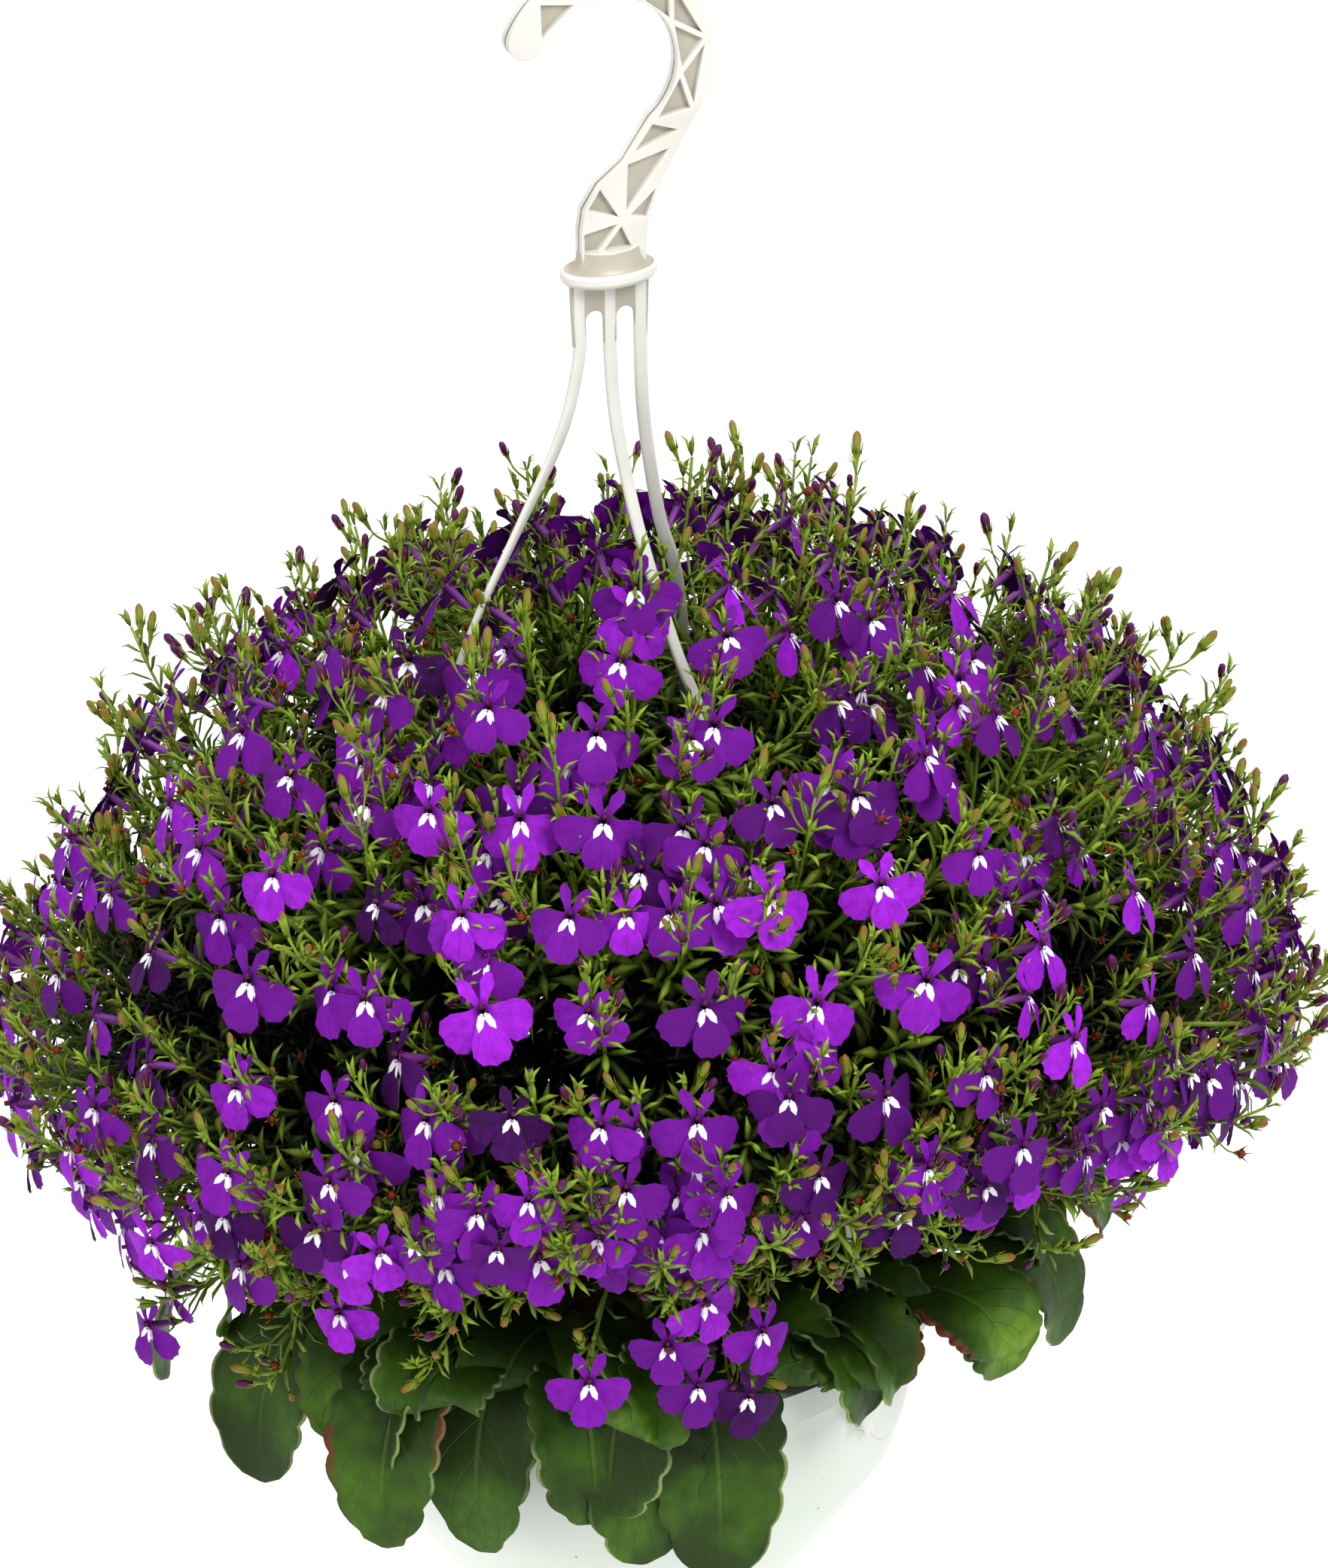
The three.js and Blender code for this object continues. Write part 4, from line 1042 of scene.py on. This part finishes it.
def model_bloom(petal, cup, spread=62, fold=10, full=1.1):
    """A bloom that looks along -y: a wide lip of three lobes, two ears and the tube behind."""
    lobe = model_lobe("lobe", LOWER_LOBE, 4, petal)
    stretch = Matrix.Diagonal((full, 1, 1.06, 1))
    middle = twin(lobe, Matrix.Rotation(math.radians(fold - 16), 4, "X") @ stretch)
    sides = []
    for way in (-1, 1):
        lean = Matrix.Rotation(math.radians(fold), 4, "X")
        turn = Matrix.Rotation(math.radians(-spread * way), 4, "Y")
        sides.append(twin(lobe, turn @ lean @ stretch))
    ear = model_lobe("ear", UPPER_LOBE, 2, petal)
    ears = []
    for way in (-1, 1):
        lean = Matrix.Rotation(math.radians(-14), 4, "X")
        turn = Matrix.Rotation(math.radians(180 - 26 * way), 4, "Y")
        ears.append(twin(ear, turn @ lean))
    bpy.data.objects.remove(lobe)
    bpy.data.objects.remove(ear)
    tube = model_cup("tube", ((7.6, 0.85), (4.0, 1.0), (-0.2, 1.25)), 6, cup, 0.86, 0.98)
    column = model_cup("column", ((1.2, 0.7), (-1.6, 0.55)), 5, cup, 0.62, 0.8, "NGON")
    column.data.transform(Matrix.Translation((0, 0, 0.7 * MM)))
    calyx = model_cup("calyx", ((10.6, 0.35), (7.2, 1.2)), 5, cup, 0.1, 0.0)
    spike = model_spike("sepal", 4.6, 0.42, cup, 0.12, 0.42)
    sepals = ring_of_sepals(5, spike, 1.0, 7.8, 38)
    return Pattern(join("bloom", middle, *sides, *ears, tube, column, calyx, *sepals))


def model_bud(cup, low=0.78, high=0.6, full=1.0):
    """A closed bud along -y on its green funnel, with its foot at the origin."""
    calyx = model_cup("calyx", ((0, 0.4), (-2.6, 0.75), (-4.2, 1.35)), 5, cup, 0.2, 0.05)
    waist = ((-5.6, 1.2 * full), (-7.6, 1.45 * full), (-9.0, 1.2 * full))
    rings = ((-3.4, 0.95), *waist, (-9.9, 0.35))
    club = model_cup("club", rings, 6, cup, low, high, "NGON")
    spike = model_spike("sepal", 3.8, 0.36, cup, 0.12, 0.42)
    sepals = ring_of_sepals(5, spike, 1.1, -3.8, 12)
    return Pattern(join("bud", calyx, club, *sepals))


def model_spent_cup(cup):
    """A calyx whose bloom has dropped: a small cup with a red mouth and five points."""
    calyx = model_cup("calyx", ((0, 0.4), (-2.2, 1.1), (-3.6, 1.7)), 6, cup, 0.38, 0.08)
    mouth = model_cup("mouth", ((-2.8, 1.35), (-4.1, 1.2), (-5.2, 0.5)), 5, cup, 0.55, 0.44, "NGON")
    spike = model_spike("sepal", 3.4, 0.42, cup, 0.14, 0.42)
    sepals = ring_of_sepals(5, spike, 1.3, -3.2, 34)
    return Pattern(join("spent_cup", calyx, mouth, *sepals))


def model_shoot_leaf(green):
    """A narrow closed blade along y, one millimetre wide at most and ten long."""
    how = dict(vertices=3, radius=0.55 * MM, depth=10 * MM, location=(0, 5 * MM, 0),
               rotation=(math.radians(-90), 0, 0))
    leaf = start(bpy.ops.mesh.primitive_cylinder_add, "shoot_leaf", **how)
    for place in (3, 7):
        bpy.ops.mesh.select_all(action="SELECT")
        bpy.ops.mesh.bisect(plane_co=(0, place * MM, 0), plane_no=(0, 1, 0))
    bpy.ops.mesh.select_all(action="SELECT")
    bpy.ops.transform.resize(value=(1, 1, 0.35), center_override=(0, 0, 0))
    for end in (0, 10):
        pick(leaf, lambda spot: abs(spot.y - end * MM) < 0.1 * MM)
        bpy.ops.mesh.merge(type="CENTER")
    pick(leaf, lambda spot: abs(spot.y - 3 * MM) < 0.1 * MM)
    bpy.ops.transform.resize(value=(0.8, 1, 1), center_override=(0, 3 * MM, 0))
    pick(leaf, lambda spot: spot.y > 9 * MM)
    bpy.ops.transform.translate(value=(0, 0, 1.2 * MM))
    face_outward()
    return Pattern(ripen(close(leaf, green), 0, 1))


class Bunch:
    """Copies of the patterns, gathered into one mesh."""

    def __init__(self):
        self.corners, self.order, self.starts, self.finish = [], [], [], []
        self.ripeness, self.tone, self.face_map = [], [], []
        self.corner_count = self.loop_count = 0

    def add(self, pattern, columns, place, size, tone):
        """Sets a copy at a place: columns are where its own x, y and z axes point."""
        corners = (pattern.corners * size) @ np.array(columns) + place
        self.corners.append(corners)
        self.order.append(pattern.order + self.corner_count)
        self.starts.append(pattern.starts + self.loop_count)
        self.finish.append(pattern.finish)
        self.ripeness.append(pattern.ripeness)
        self.tone.append(np.full(len(corners), tone, np.float32))
        self.face_map.append(pattern.face_map)
        self.corner_count += len(corners)
        self.loop_count += len(pattern.order)

    def piece(self, name):
        mesh = bpy.data.meshes.new(name)
        mesh.vertices.add(self.corner_count)
        mesh.loops.add(self.loop_count)
        starts = np.concatenate(self.starts)
        mesh.polygons.add(len(starts))
        move_corners(mesh, np.concatenate(self.corners))
        mesh.loops.foreach_set("vertex_index", np.concatenate(self.order).astype(np.int32))
        mesh.polygons.foreach_set("loop_start", starts.astype(np.int32))
        mesh.update(calc_edges=True)
        mesh.polygons.foreach_set("material_index", np.concatenate(self.finish))
        mesh.polygons.foreach_set("use_smooth", np.ones(len(starts), bool))
        layer = mesh.uv_layers.new(name="bloom_face")
        layer.uv.foreach_set("vector", np.concatenate(self.face_map).astype(np.float32).ravel())
        for label, values in (("ripeness", self.ripeness), ("tone", self.tone)):
            store(mesh, label, np.concatenate(values))
        for finish in SPRAY_FINISHES:
            mesh.materials.append(finish)
        mesh.validate()
        return new_object(name, mesh)


def draw_stems(name, stems, finish):
    """Round stems along their marks, each from one radius to another."""
    curve = bpy.data.curves.new(name, "CURVE")
    curve.dimensions = "3D"
    curve.bevel_depth, curve.bevel_resolution = MM, 0
    curve.use_fill_caps = True
    lines = []
    for marks, foot, tip in stems:
        last = len(marks) - 1
        lines.append([(mark * MM, foot + (tip - foot) * i / last) for i, mark in enumerate(marks)])
    piece = draw_lines(name, curve, lines)
    paint(piece, finish)
    bpy.ops.object.mode_set(mode="EDIT")
    mend()
    bpy.ops.object.mode_set(mode="OBJECT")
    bpy.ops.object.shade_smooth()
    return piece


# ---- Flowering sprays ---------------------------------------------------------------------

# the round mound: its middle, how far it reaches sideways, up and down, and its tilt
MOUND_CENTRE = np.array([7.4, -3.0, 182.0])
MOUND_RADIUS, MOUND_RISE, MOUND_DROP = 182, 148, 116
MOUND_LEAN = (0.046, -0.019)
# the side on which it is flattened most, how much, and how far its underside is lifted
MOUND_FRONT, MOUND_FLATTEN, MOUND_LIFT = -112, 0.18, 28
# the side on which it is thin below, and how far it is drawn in and up there
THIN_SIDE, THIN_PULL, THIN_LIFT = -85, 0.07, 18
# over the compost and past the leaves' roots: where stems begin to follow the mound, and
# where they follow it in full; then the heights between which the underside ends
FREE_HEIGHT, FREE_REACH, UNDERSIDE = (4, 25), (5, 35), (25, 135)
# painted light: the mound's top counts as more open than it is, so it gets less painted shade
TOP_LIGHT = 0.2  # how much more open the mound's top is

# rows of blooms, in degrees down from the top
TOP_ROW, ROW_STEP = 7, 10.4
ROWS_PER_RING = 3
BLOOMS_PER_ROW = (1, 3, 5, 9, 9, 9, 12, 12, 12, 12, 12, 12)
# for each ring: sprays in a third, root radius, lift, reach
RINGS = ((1, 13, 150, 62), (3, 31, 108, 74), (4, 47, 84, 84), (4, 61, 78, 70))
TOP_THIRDS = (-60, 30, 180)
# for each ring: a spray's blooms between the rows, and its leafy shoots inside the mound
EXTRA_BLOOMS, INNER_SHOOTS = (11, 9, 5, 1), (7, 10, 17, 17)
INNER_DEPTH = (10, 62)
# the side with the most blooms, how many more a spray has there, and how many fewer opposite
FULL_SIDE, FULL_MORE, THIN_LESS = -20, 3, 2
BAND_RING, BAND_DOWN, BAND_BLOOMS = 2, 95, 3  # blooms between the two lowest rings
# low places without blooms: angle, how wide to each side, from how far down
BARE_PATCHES = ((-70, 26, 98), (-128, 14, 108), (-158, 15, 110))
# single blooms that hang in front of the broad leaves: angle, radius, height
HANGING_BLOOMS = (
    (-116, 122, 144), (-106, 120, 154), (-102, 118, 139), (-93, 116, 152), (-95, 117, 133),
    (-171, 150, 136), (-146, 134, 160), (-60, 122, 150),
)
HANGING_REACH = 15  # degrees from a spray's root to the hanging blooms that it carries
# shoots with buds that stand out from the mound: the side where one ring's stand out further,
# the side where all stand out less, and by how much
BUD_SHOOTS = 5
TALL_RING, TALL_SIDE, TALL_SHOOTS = 1, 170, 1.05
SHORT_SIDE, SHORT_SHOOTS = 120, 0.4
UP = np.array([0, 0, 1.0])
# from the least to the most of each, in millimetres, degrees or as a share
MAIN_LEAF = ((40, 75), (13, 22), (2.5, 4.5), (0, 0.4))  # lean, length, width, tone
SHOOT_LEAF = ((32, 58), (10, 16), (1.8, 3.0), (0.1, 0.75))
TIP_LEAF = ((6, 24), (4, 7.5), (1.0, 1.6), (0.6, 1.0))
LEAF_GAP, TIP_LEAF_GAP = (2.6, 4.2), (1.2, 2.2)
TIP_LEAVES = 4
BLOOM_SIZE, YOUNG_SIZE, RIPE_SIZE = (1.06, 1.28), (0.7, 1.1), (0.6, 1.0)
BLOOM_STALK, BUD_STALK, CUP_STALK = (14, 22), (3, 8), (7, 13)
TUBE_LENGTH = 10.4
PETAL_TONE = (0.54, 0.3)  # the middle and the spread
LEAF_TURN = 2.4  # radians round the shoot from one leaf to the next


def smooth_step(value, low, high):
    share = np.clip((value - low) / (high - low), 0, 1)
    return share * share * (3 - 2 * share)


def shaping(spots):
    """How far in, as a share, and how far up the round mound is drawn at many places."""
    angle = np.arctan2(spots[..., 1], spots[..., 0])
    below = 1 - smooth_step(spots[..., 2] - SOIL_TOP, *UNDERSIDE)
    thin = np.maximum(0, np.cos(angle - math.radians(THIN_SIDE))) ** 2 * below
    flat = MOUND_FLATTEN * np.cos(angle - math.radians(MOUND_FRONT)) ** 2
    return flat + THIN_PULL * thin, MOUND_LIFT * below + THIN_LIFT * thin


def settle(spot):
    """Flattens the round mound on its front and back, and lifts its underside off the pot."""
    high = smooth_step(spot[2] - SOIL_TOP, *FREE_HEIGHT)
    wide = smooth_step(math.hypot(spot[0], spot[1]) - LEAF_ROOT, *FREE_REACH)
    free = max(high, wide)
    squash, lift = shaping(spot)
    narrow = 1 - squash * free
    return np.array([spot[0] * narrow, spot[1] * narrow, spot[2] + lift * free])


def openness(spots):
    """0 in the middle of the mound, 1 at its surface, for many settled places at once. The top is
    raised by TOP_LIGHT, painted light that leaves it less painted shade.
    """
    first = spots.copy()
    for _ in range(4):  # each round comes closer to the place before it was settled
        squash, lift = shaping(first)
        first[:, :2] = spots[:, :2] / (1 - squash)[:, None]
        first[:, 2] = spots[:, 2] - lift
    level, height = first[:, :2] - MOUND_CENTRE[:2], first[:, 2] - MOUND_CENTRE[2]
    rise = np.where(height > 0, MOUND_RISE, MOUND_DROP)
    share = np.hypot(np.hypot(*level.T) / MOUND_RADIUS, height / rise)
    return share + TOP_LIGHT * smooth_step(height / rise, 0.1, 0.8)


def mound_point(down, turn, depth):
    tilt = math.radians(down)
    height = math.cos(tilt) * (MOUND_RISE if down < 90 else MOUND_DROP)
    spot = polar((MOUND_RADIUS - depth) * math.sin(tilt), turn)
    spot[:2] += MOUND_CENTRE[:2]
    lean = spot[0] * MOUND_LEAN[0] + spot[1] * MOUND_LEAN[1]
    spot[2] = MOUND_CENTRE[2] + height - depth * math.cos(tilt) + lean
    return settle(spot)


def mound_normal(down, turn):
    tilt = math.radians(down)
    rise = MOUND_RISE if down < 90 else MOUND_DROP
    return unit(polar(math.sin(tilt) * rise, turn, math.cos(tilt) * MOUND_RADIUS))


def third_of(row, third):
    starts = TOP_THIRDS if row < ROWS_PER_RING - 1 else STRAP_ANGLES
    after = starts[third + 1] if third < 2 else starts[0] + 360
    return starts[third], after - starts[third]


def gap_between(turn, other):
    return abs((turn - other + 180) % 360 - 180)


def is_bare(down, turn):
    """True in the low patches where shoots carry no blooms."""
    return any(down > low and gap_between(turn, middle) < wide
               for middle, wide, low in BARE_PATCHES)


def out_of(heading, turn):
    """The direction at a turn round a stem."""
    side = unit(np.cross(heading, UP + np.array([0.13, 0.07, 0])))
    other = np.cross(heading, side)
    return side * math.cos(turn) + other * math.sin(turn)


def bloom_places(ring, third, place, row):
    in_third = BLOOMS_PER_ROW[row]
    per_spray = in_third // RINGS[ring][0]
    begin, span = third_of(row, third)
    stagger = 0 if ring == 0 else 0.12 if row % 2 else -0.12
    places = []
    for i in range(per_spray):
        slot = place * per_spray + i
        seed = row * 100 + third * 30 + slot
        turn = begin + (span / in_third) * (slot + 0.5 + stagger + jitter(seed + 0.05, 0.06))
        down = TOP_ROW + ROW_STEP * row + jitter(seed + 0.3, 0.9)
        places.append((down, turn, 9 * chance(seed + 0.6) - 3))
    return places


class Spray:
    """One spray: its main stem, and the shoots, leaves, blooms and buds that it carries."""

    def __init__(self, ring, third, place, patterns):
        self.patterns = patterns
        self.bunch, self.stems = Bunch(), []
        number = third * RINGS[ring][0] + place
        self.ring, self.name = ring, f"spray_{ring + 1}_{number + 1}"
        self.dice = random.Random(1000 * ring + number)
        per_third, root_radius, lift, reach = RINGS[ring]
        top_row = ring * ROWS_PER_RING
        begin, span = third_of(top_row, third)
        self.root_turn = begin + span / per_third * (place + 0.5)
        rows = [bloom_places(ring, third, place, top_row + i) for i in range(ROWS_PER_RING)]
        self.blooms = [bloom for row in rows for bloom in row]
        down, turn, depth = rows[1][1]
        tip = mound_point(down, turn, depth + 6)
        self.main = Bend(
            polar(root_radius, self.root_turn, SOIL_TOP - 4),
            settle(polar(root_radius, self.root_turn, SOIL_TOP + lift)),
            tip - mound_normal(down, turn) * reach,
            tip,
        )

    def between(self, low, high):
        return low + (high - low) * self.dice.random()

    def around(self, reach):
        return self.between(-reach, reach)

    def leaf(self, spot, heading, out, lean, length, width, tone):
        """A narrow leaf that leans out from a stem's heading."""
        lean = math.radians(lean)
        way = unit(heading * math.cos(lean) + out * math.sin(lean))
        side = unit(np.cross(heading, out))
        face = np.cross(side, way)
        size = np.array([width, length / 10, width])
        self.bunch.add(self.patterns["leaf"], (side, way, face), spot, size, tone)

    def set_bloom(self, spot, facing, size, kind):
        side = unit(np.cross(-facing, UP))
        roll = math.radians(self.around(16))
        up = np.cross(side, -facing)
        side, up = (side * math.cos(roll) + up * math.sin(roll),
                    up * math.cos(roll) - side * math.sin(roll))
        stretch = size * np.array([self.between(0.88, 1.06), 1, self.between(0.92, 1.08)])
        tone = min(1.0, max(0.0, self.dice.gauss(*PETAL_TONE)))
        self.bunch.add(self.patterns[kind], (side, -facing, up), spot, stretch, tone)

    def set_tip(self, pattern, spot, heading, size):
        """A bud or cup whose -y end looks along a heading."""
        side = unit(np.cross(-heading, unit(UP + 0.3)))
        up = np.cross(side, -heading)
        self.bunch.add(self.patterns[pattern], (side, -heading, up), spot, size, 0.5)

    def stalk(self, start, way, spot, arrival, radius=0.32):
        """A thread-thin stalk to the foot of a bloom, bud or cup."""
        length = np.linalg.norm(spot - start)
        path = Bend(start, start + way * length * 0.4, spot - arrival * length * 0.4, spot)
        self.stems.append((path.marks(6), radius * 1.2, radius))

    def shoot(self, begin, tip, arrival, bloom, buds, cups, lush=1.0, shade=0.0):
        """A leafy shoot off the main stem, with what it carries near its tip. Shade darkens the
        tone of its leaves: painted shade.
        """
        foot, way = self.main.at(begin), self.main.heading(begin)
        length = np.linalg.norm(tip - foot)
        path = Bend(foot, foot + way * length * 0.4, tip - arrival * length * 0.4, tip)
        length = path.length()
        self.stems.append((path.marks(10), 0.9, 0.45))
        turn = self.between(0, math.tau)
        run = length * 0.25
        while run < length - 3:
            t = run / length
            spot, heading = path.at(t), path.heading(t)
            left = length - run
            turn += LEAF_TURN
            size = min(1.0, 0.45 + left / 60)
            lean, long, wide, tone = [self.between(*reach) for reach in SHOOT_LEAF]
            self.leaf(spot, heading, out_of(heading, turn), lean, long * size * lush,
                      wide * size * lush**1.5, tone * (1 - shade) + 0.3 * (left < 25))
            run += self.between(*(LEAF_GAP if left > 14 else TIP_LEAF_GAP))
        for _ in range(TIP_LEAVES):
            out = out_of(path.heading(1), self.between(0, math.tau))
            self.leaf(tip, path.heading(1), out, *[self.between(*reach) for reach in TIP_LEAF])
        if bloom:
            spot, facing, kind = bloom
            back = min(0.7, self.between(*BLOOM_STALK) / length)
            foot = path.at(1 - back)
            size = self.between(*BLOOM_SIZE)
            self.stalk(foot, path.heading(1 - back), spot - facing * TUBE_LENGTH * size, facing)
            self.set_bloom(spot, facing, size, kind)
        for kind, count, low, high in (("bud", buds, 2, 16), ("cup", cups, 16, 40)):
            for _ in range(count):
                t = max(0.2, 1 - self.between(low, high) / length)
                spot, heading = path.at(t), path.heading(t)
                out = out_of(heading, self.between(0, math.tau))
                reach = self.between(*(BUD_STALK if kind == "bud" else CUP_STALK))
                lean = unit(out * 0.75 + heading * 0.9)
                end = spot + lean * reach
                arrival = unit(lean + UP * 0.7)
                self.stalk(spot, unit(out + heading), end, arrival, 0.28)
                if kind == "bud" and self.dice.random() < 0.6:
                    self.set_tip("young", end, arrival, self.between(*YOUNG_SIZE))
                else:
                    self.set_tip(kind, end, arrival, self.between(*RIPE_SIZE))

    def facing(self, down, turn, spread=26):
        """Blooms look out and a little up, even near the top of the mound."""
        normal = mound_normal(down, turn)
        out = polar(1, turn + self.around(spread))
        return unit(out * (0.75 + 0.25 * (1 - abs(normal[2]))) + UP * (0.2 + 0.35 * normal[2])
                    + np.array([0, 0, self.around(0.14)]))

    def grow(self):
        self.stems.append((self.main.marks(16), 1.5, 0.8))
        for mark in np.arange(0.06, 0.7, 4 / self.main.length()):
            heading = self.main.heading(mark)
            self.leaf(self.main.at(mark), heading, out_of(heading, 150 * mark),
                      *[self.between(*reach) for reach in MAIN_LEAF])
        for bloom in self.blooms:
            self.row_shoot(*bloom)
        toward = math.cos(math.radians(self.root_turn - FULL_SIDE))
        more = FULL_MORE if toward > 0.2 else -THIN_LESS if toward < -0.5 else 0
        for i in range(max(0, EXTRA_BLOOMS[self.ring] + more)):
            down, turn = self.near_bloom(6)
            kind = "faded" if i == 0 else "bloom"
            self.bloom_shoot(down, turn, 18, 4, 0.8, 45, kind, is_bare(down, turn))
        if self.ring == BAND_RING:
            for _ in range(BAND_BLOOMS):
                turn = self.near_bloom(7)[1]
                self.bloom_shoot(BAND_DOWN + self.around(4), turn, 16, 3, 0.6, 40)
        if self.ring == len(RINGS) - 1:
            for turn, radius, height in HANGING_BLOOMS:
                if gap_between(turn, self.root_turn) < HANGING_REACH:
                    self.hanging_shoot(turn, radius, height)
        for _ in range(BUD_SHOOTS):
            self.bud_shoot(*self.near_bloom(5))
        for _ in range(INNER_SHOOTS[self.ring]):
            down, turn = self.near_bloom(9)
            tip = mound_point(down, turn, self.between(*INNER_DEPTH))
            arrival = unit(mound_normal(down, turn) + UP * 0.3)
            # inner shoots: bigger leaves whose tone is halved, painted shade inside the mound
            self.shoot(self.between(0.08, 0.5), tip, arrival, None, 0, 0, 1.5, 0.5)

    def row_shoot(self, down, turn, depth):
        """A shoot with one of the blooms that stand in rows, as in the solid spray."""
        spot, normal = mound_point(down, turn, depth), mound_normal(down, turn)
        tip = spot + normal * self.between(-7, 3) + UP * self.between(5, 12)
        tip = tip + polar(1, turn + 90) * self.around(9)
        bloom = (spot, self.facing(down, turn), "bloom")
        self.shoot(self.between(0.3, 0.7), tip, unit(normal * 0.55 + UP * 0.75),
                   None if is_bare(down, turn) else bloom,
                   self.dice.choice((1, 2, 2)), self.dice.choice((1, 1, 2)))

    def bloom_shoot(self, down, turn, deepest, ahead, rise, spread, kind="bloom", bare=False):
        """A shoot with a bloom between the rows."""
        spot, normal = mound_point(down, turn, self.between(0, deepest)), mound_normal(down, turn)
        tip = spot + normal * self.between(-6, ahead) + UP * self.between(4, 10)
        bloom = (spot, self.facing(down, turn, spread), kind)
        self.shoot(self.between(0.3, 0.6), tip, unit(normal + UP * rise), None if bare else bloom,
                   1, 1)

    def hanging_shoot(self, turn, radius, height):
        """A shoot with a bloom that hangs low in front of the broad leaves."""
        spot, out = polar(radius, turn, height), polar(1, turn)
        facing = unit(out + UP * 0.25 + polar(self.around(0.3), turn + 90))
        tip = spot - out * self.between(2, 8) + UP * self.between(4, 9)
        self.shoot(0.4, tip, unit(out * 0.8 + UP * 0.2), (spot, facing, "bloom"), 2, 1)

    def bud_shoot(self, down, turn):
        """A shoot that stands out from the mound with buds on it."""
        long = 1 - SHORT_SHOOTS * max(0, math.cos(math.radians(turn - SHORT_SIDE)))
        if self.ring == TALL_RING:
            long += TALL_SHOOTS * max(0, math.cos(math.radians(turn - TALL_SIDE)))
        tip = mound_point(down, turn, -self.between(3, 14) * long) + UP * self.between(0, 6)
        arrival = unit(mound_normal(down, turn) * 0.7 + UP * 0.8)
        self.shoot(self.between(0.35, 0.7), tip, arrival, None, 3, 1)

    def near_bloom(self, reach):
        """A place within some degrees of one of the spray's own blooms."""
        down, turn, _ = self.dice.choice(self.blooms)
        down += self.around(reach)
        return down, turn + self.around(reach) / max(0.25, math.sin(math.radians(down)))

    def finish(self, stem_green):
        greens = self.bunch.piece(self.name + "_growth")
        stems = draw_stems("stems", self.stems, stem_green)
        piece = join(self.name + "_growth", greens, stems)
        mesh = piece.data
        spots = np.empty(len(mesh.vertices) * 3, np.float32)
        mesh.vertices.foreach_get("co", spots)
        # openness sets where the finishes paint shade inside the mound
        store(mesh, "openness", openness(spots.reshape(-1, 3) / MM))
        dress(piece, "flowering_spray", self.name)


# ---- Putting it together ------------------------------------------------------------------


def dress(piece, slot, *nodes):
    """Gives a finished piece its body and hides the solids it stands for. The slot is not used."""
    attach(piece, "root")
    if nodes:
        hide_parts(*nodes)


set_camera()
set_light()

floor = close(start(bpy.ops.mesh.primitive_plane_add, "pale_floor", size=FLOOR_SIZE,
                    location=(0, 0, FLOOR_DROP)), floor_finish(), smooth=0)

pot_white = pot_finish()
make_pot(pot_white)
make_tray(pot_white)
make_compost(compost_finish())
make_hanger(
    hanger_finish("hanger_plastic", rgb(216, 215, 208), rgb(207, 205, 196)),
    # the same plastic made darker: painted shade for the hanger's hollows
    hanger_finish("hanger_recess_painted_shade", rgb(178, 172, 157), rgb(162, 155, 140)),
)

leaf_green = broad_leaf_finish()
leaf_pattern = model_broad_leaf()
for index, leaf in enumerate(BROAD_LEAVES):
    name = f"broad_leaf_{index + 1}"
    blade = make_broad_leaf(leaf_pattern, leaf_green, name + "_blade", index, leaf)
    dress(blade, "broad_leaf", name)
rim = [make_broad_leaf(leaf_pattern, leaf_green, "rim_leaf", 40 + index, leaf)
       for index, leaf in enumerate(RIM_LEAVES)]
dress(join("rim_leaves", *rim), "broad_leaf")
inner = [make_broad_leaf(leaf_pattern, leaf_green, "inner_leaf", 70 + index, leaf, INNER_ROOT)
         for index, leaf in enumerate(INNER_LEAVES)]
dress(join("inner_leaves", *inner), "broad_leaf")
bpy.data.objects.remove(leaf_pattern)

petal, green = petal_finish(), shoot_leaf_finish()
cup, stem_green = bud_finish(), stem_finish()
SPRAY_FINISHES.extend((petal, green, cup, stem_green))
patterns = {
    "bloom": model_bloom(petal, cup),
    "faded": model_bloom(petal, cup, 24, 40, 0.62),
    "bud": model_bud(cup),
    "young": model_bud(cup, 0.4, 0.05, 0.85),
    "cup": model_spent_cup(cup),
    "leaf": model_shoot_leaf(green),
}
for ring, (per_third, *_) in enumerate(RINGS):
    for third in range(3):
        for place in range(per_third):
            spray = Spray(ring, third, place, patterns)
            spray.grow()
            spray.finish(stem_green)
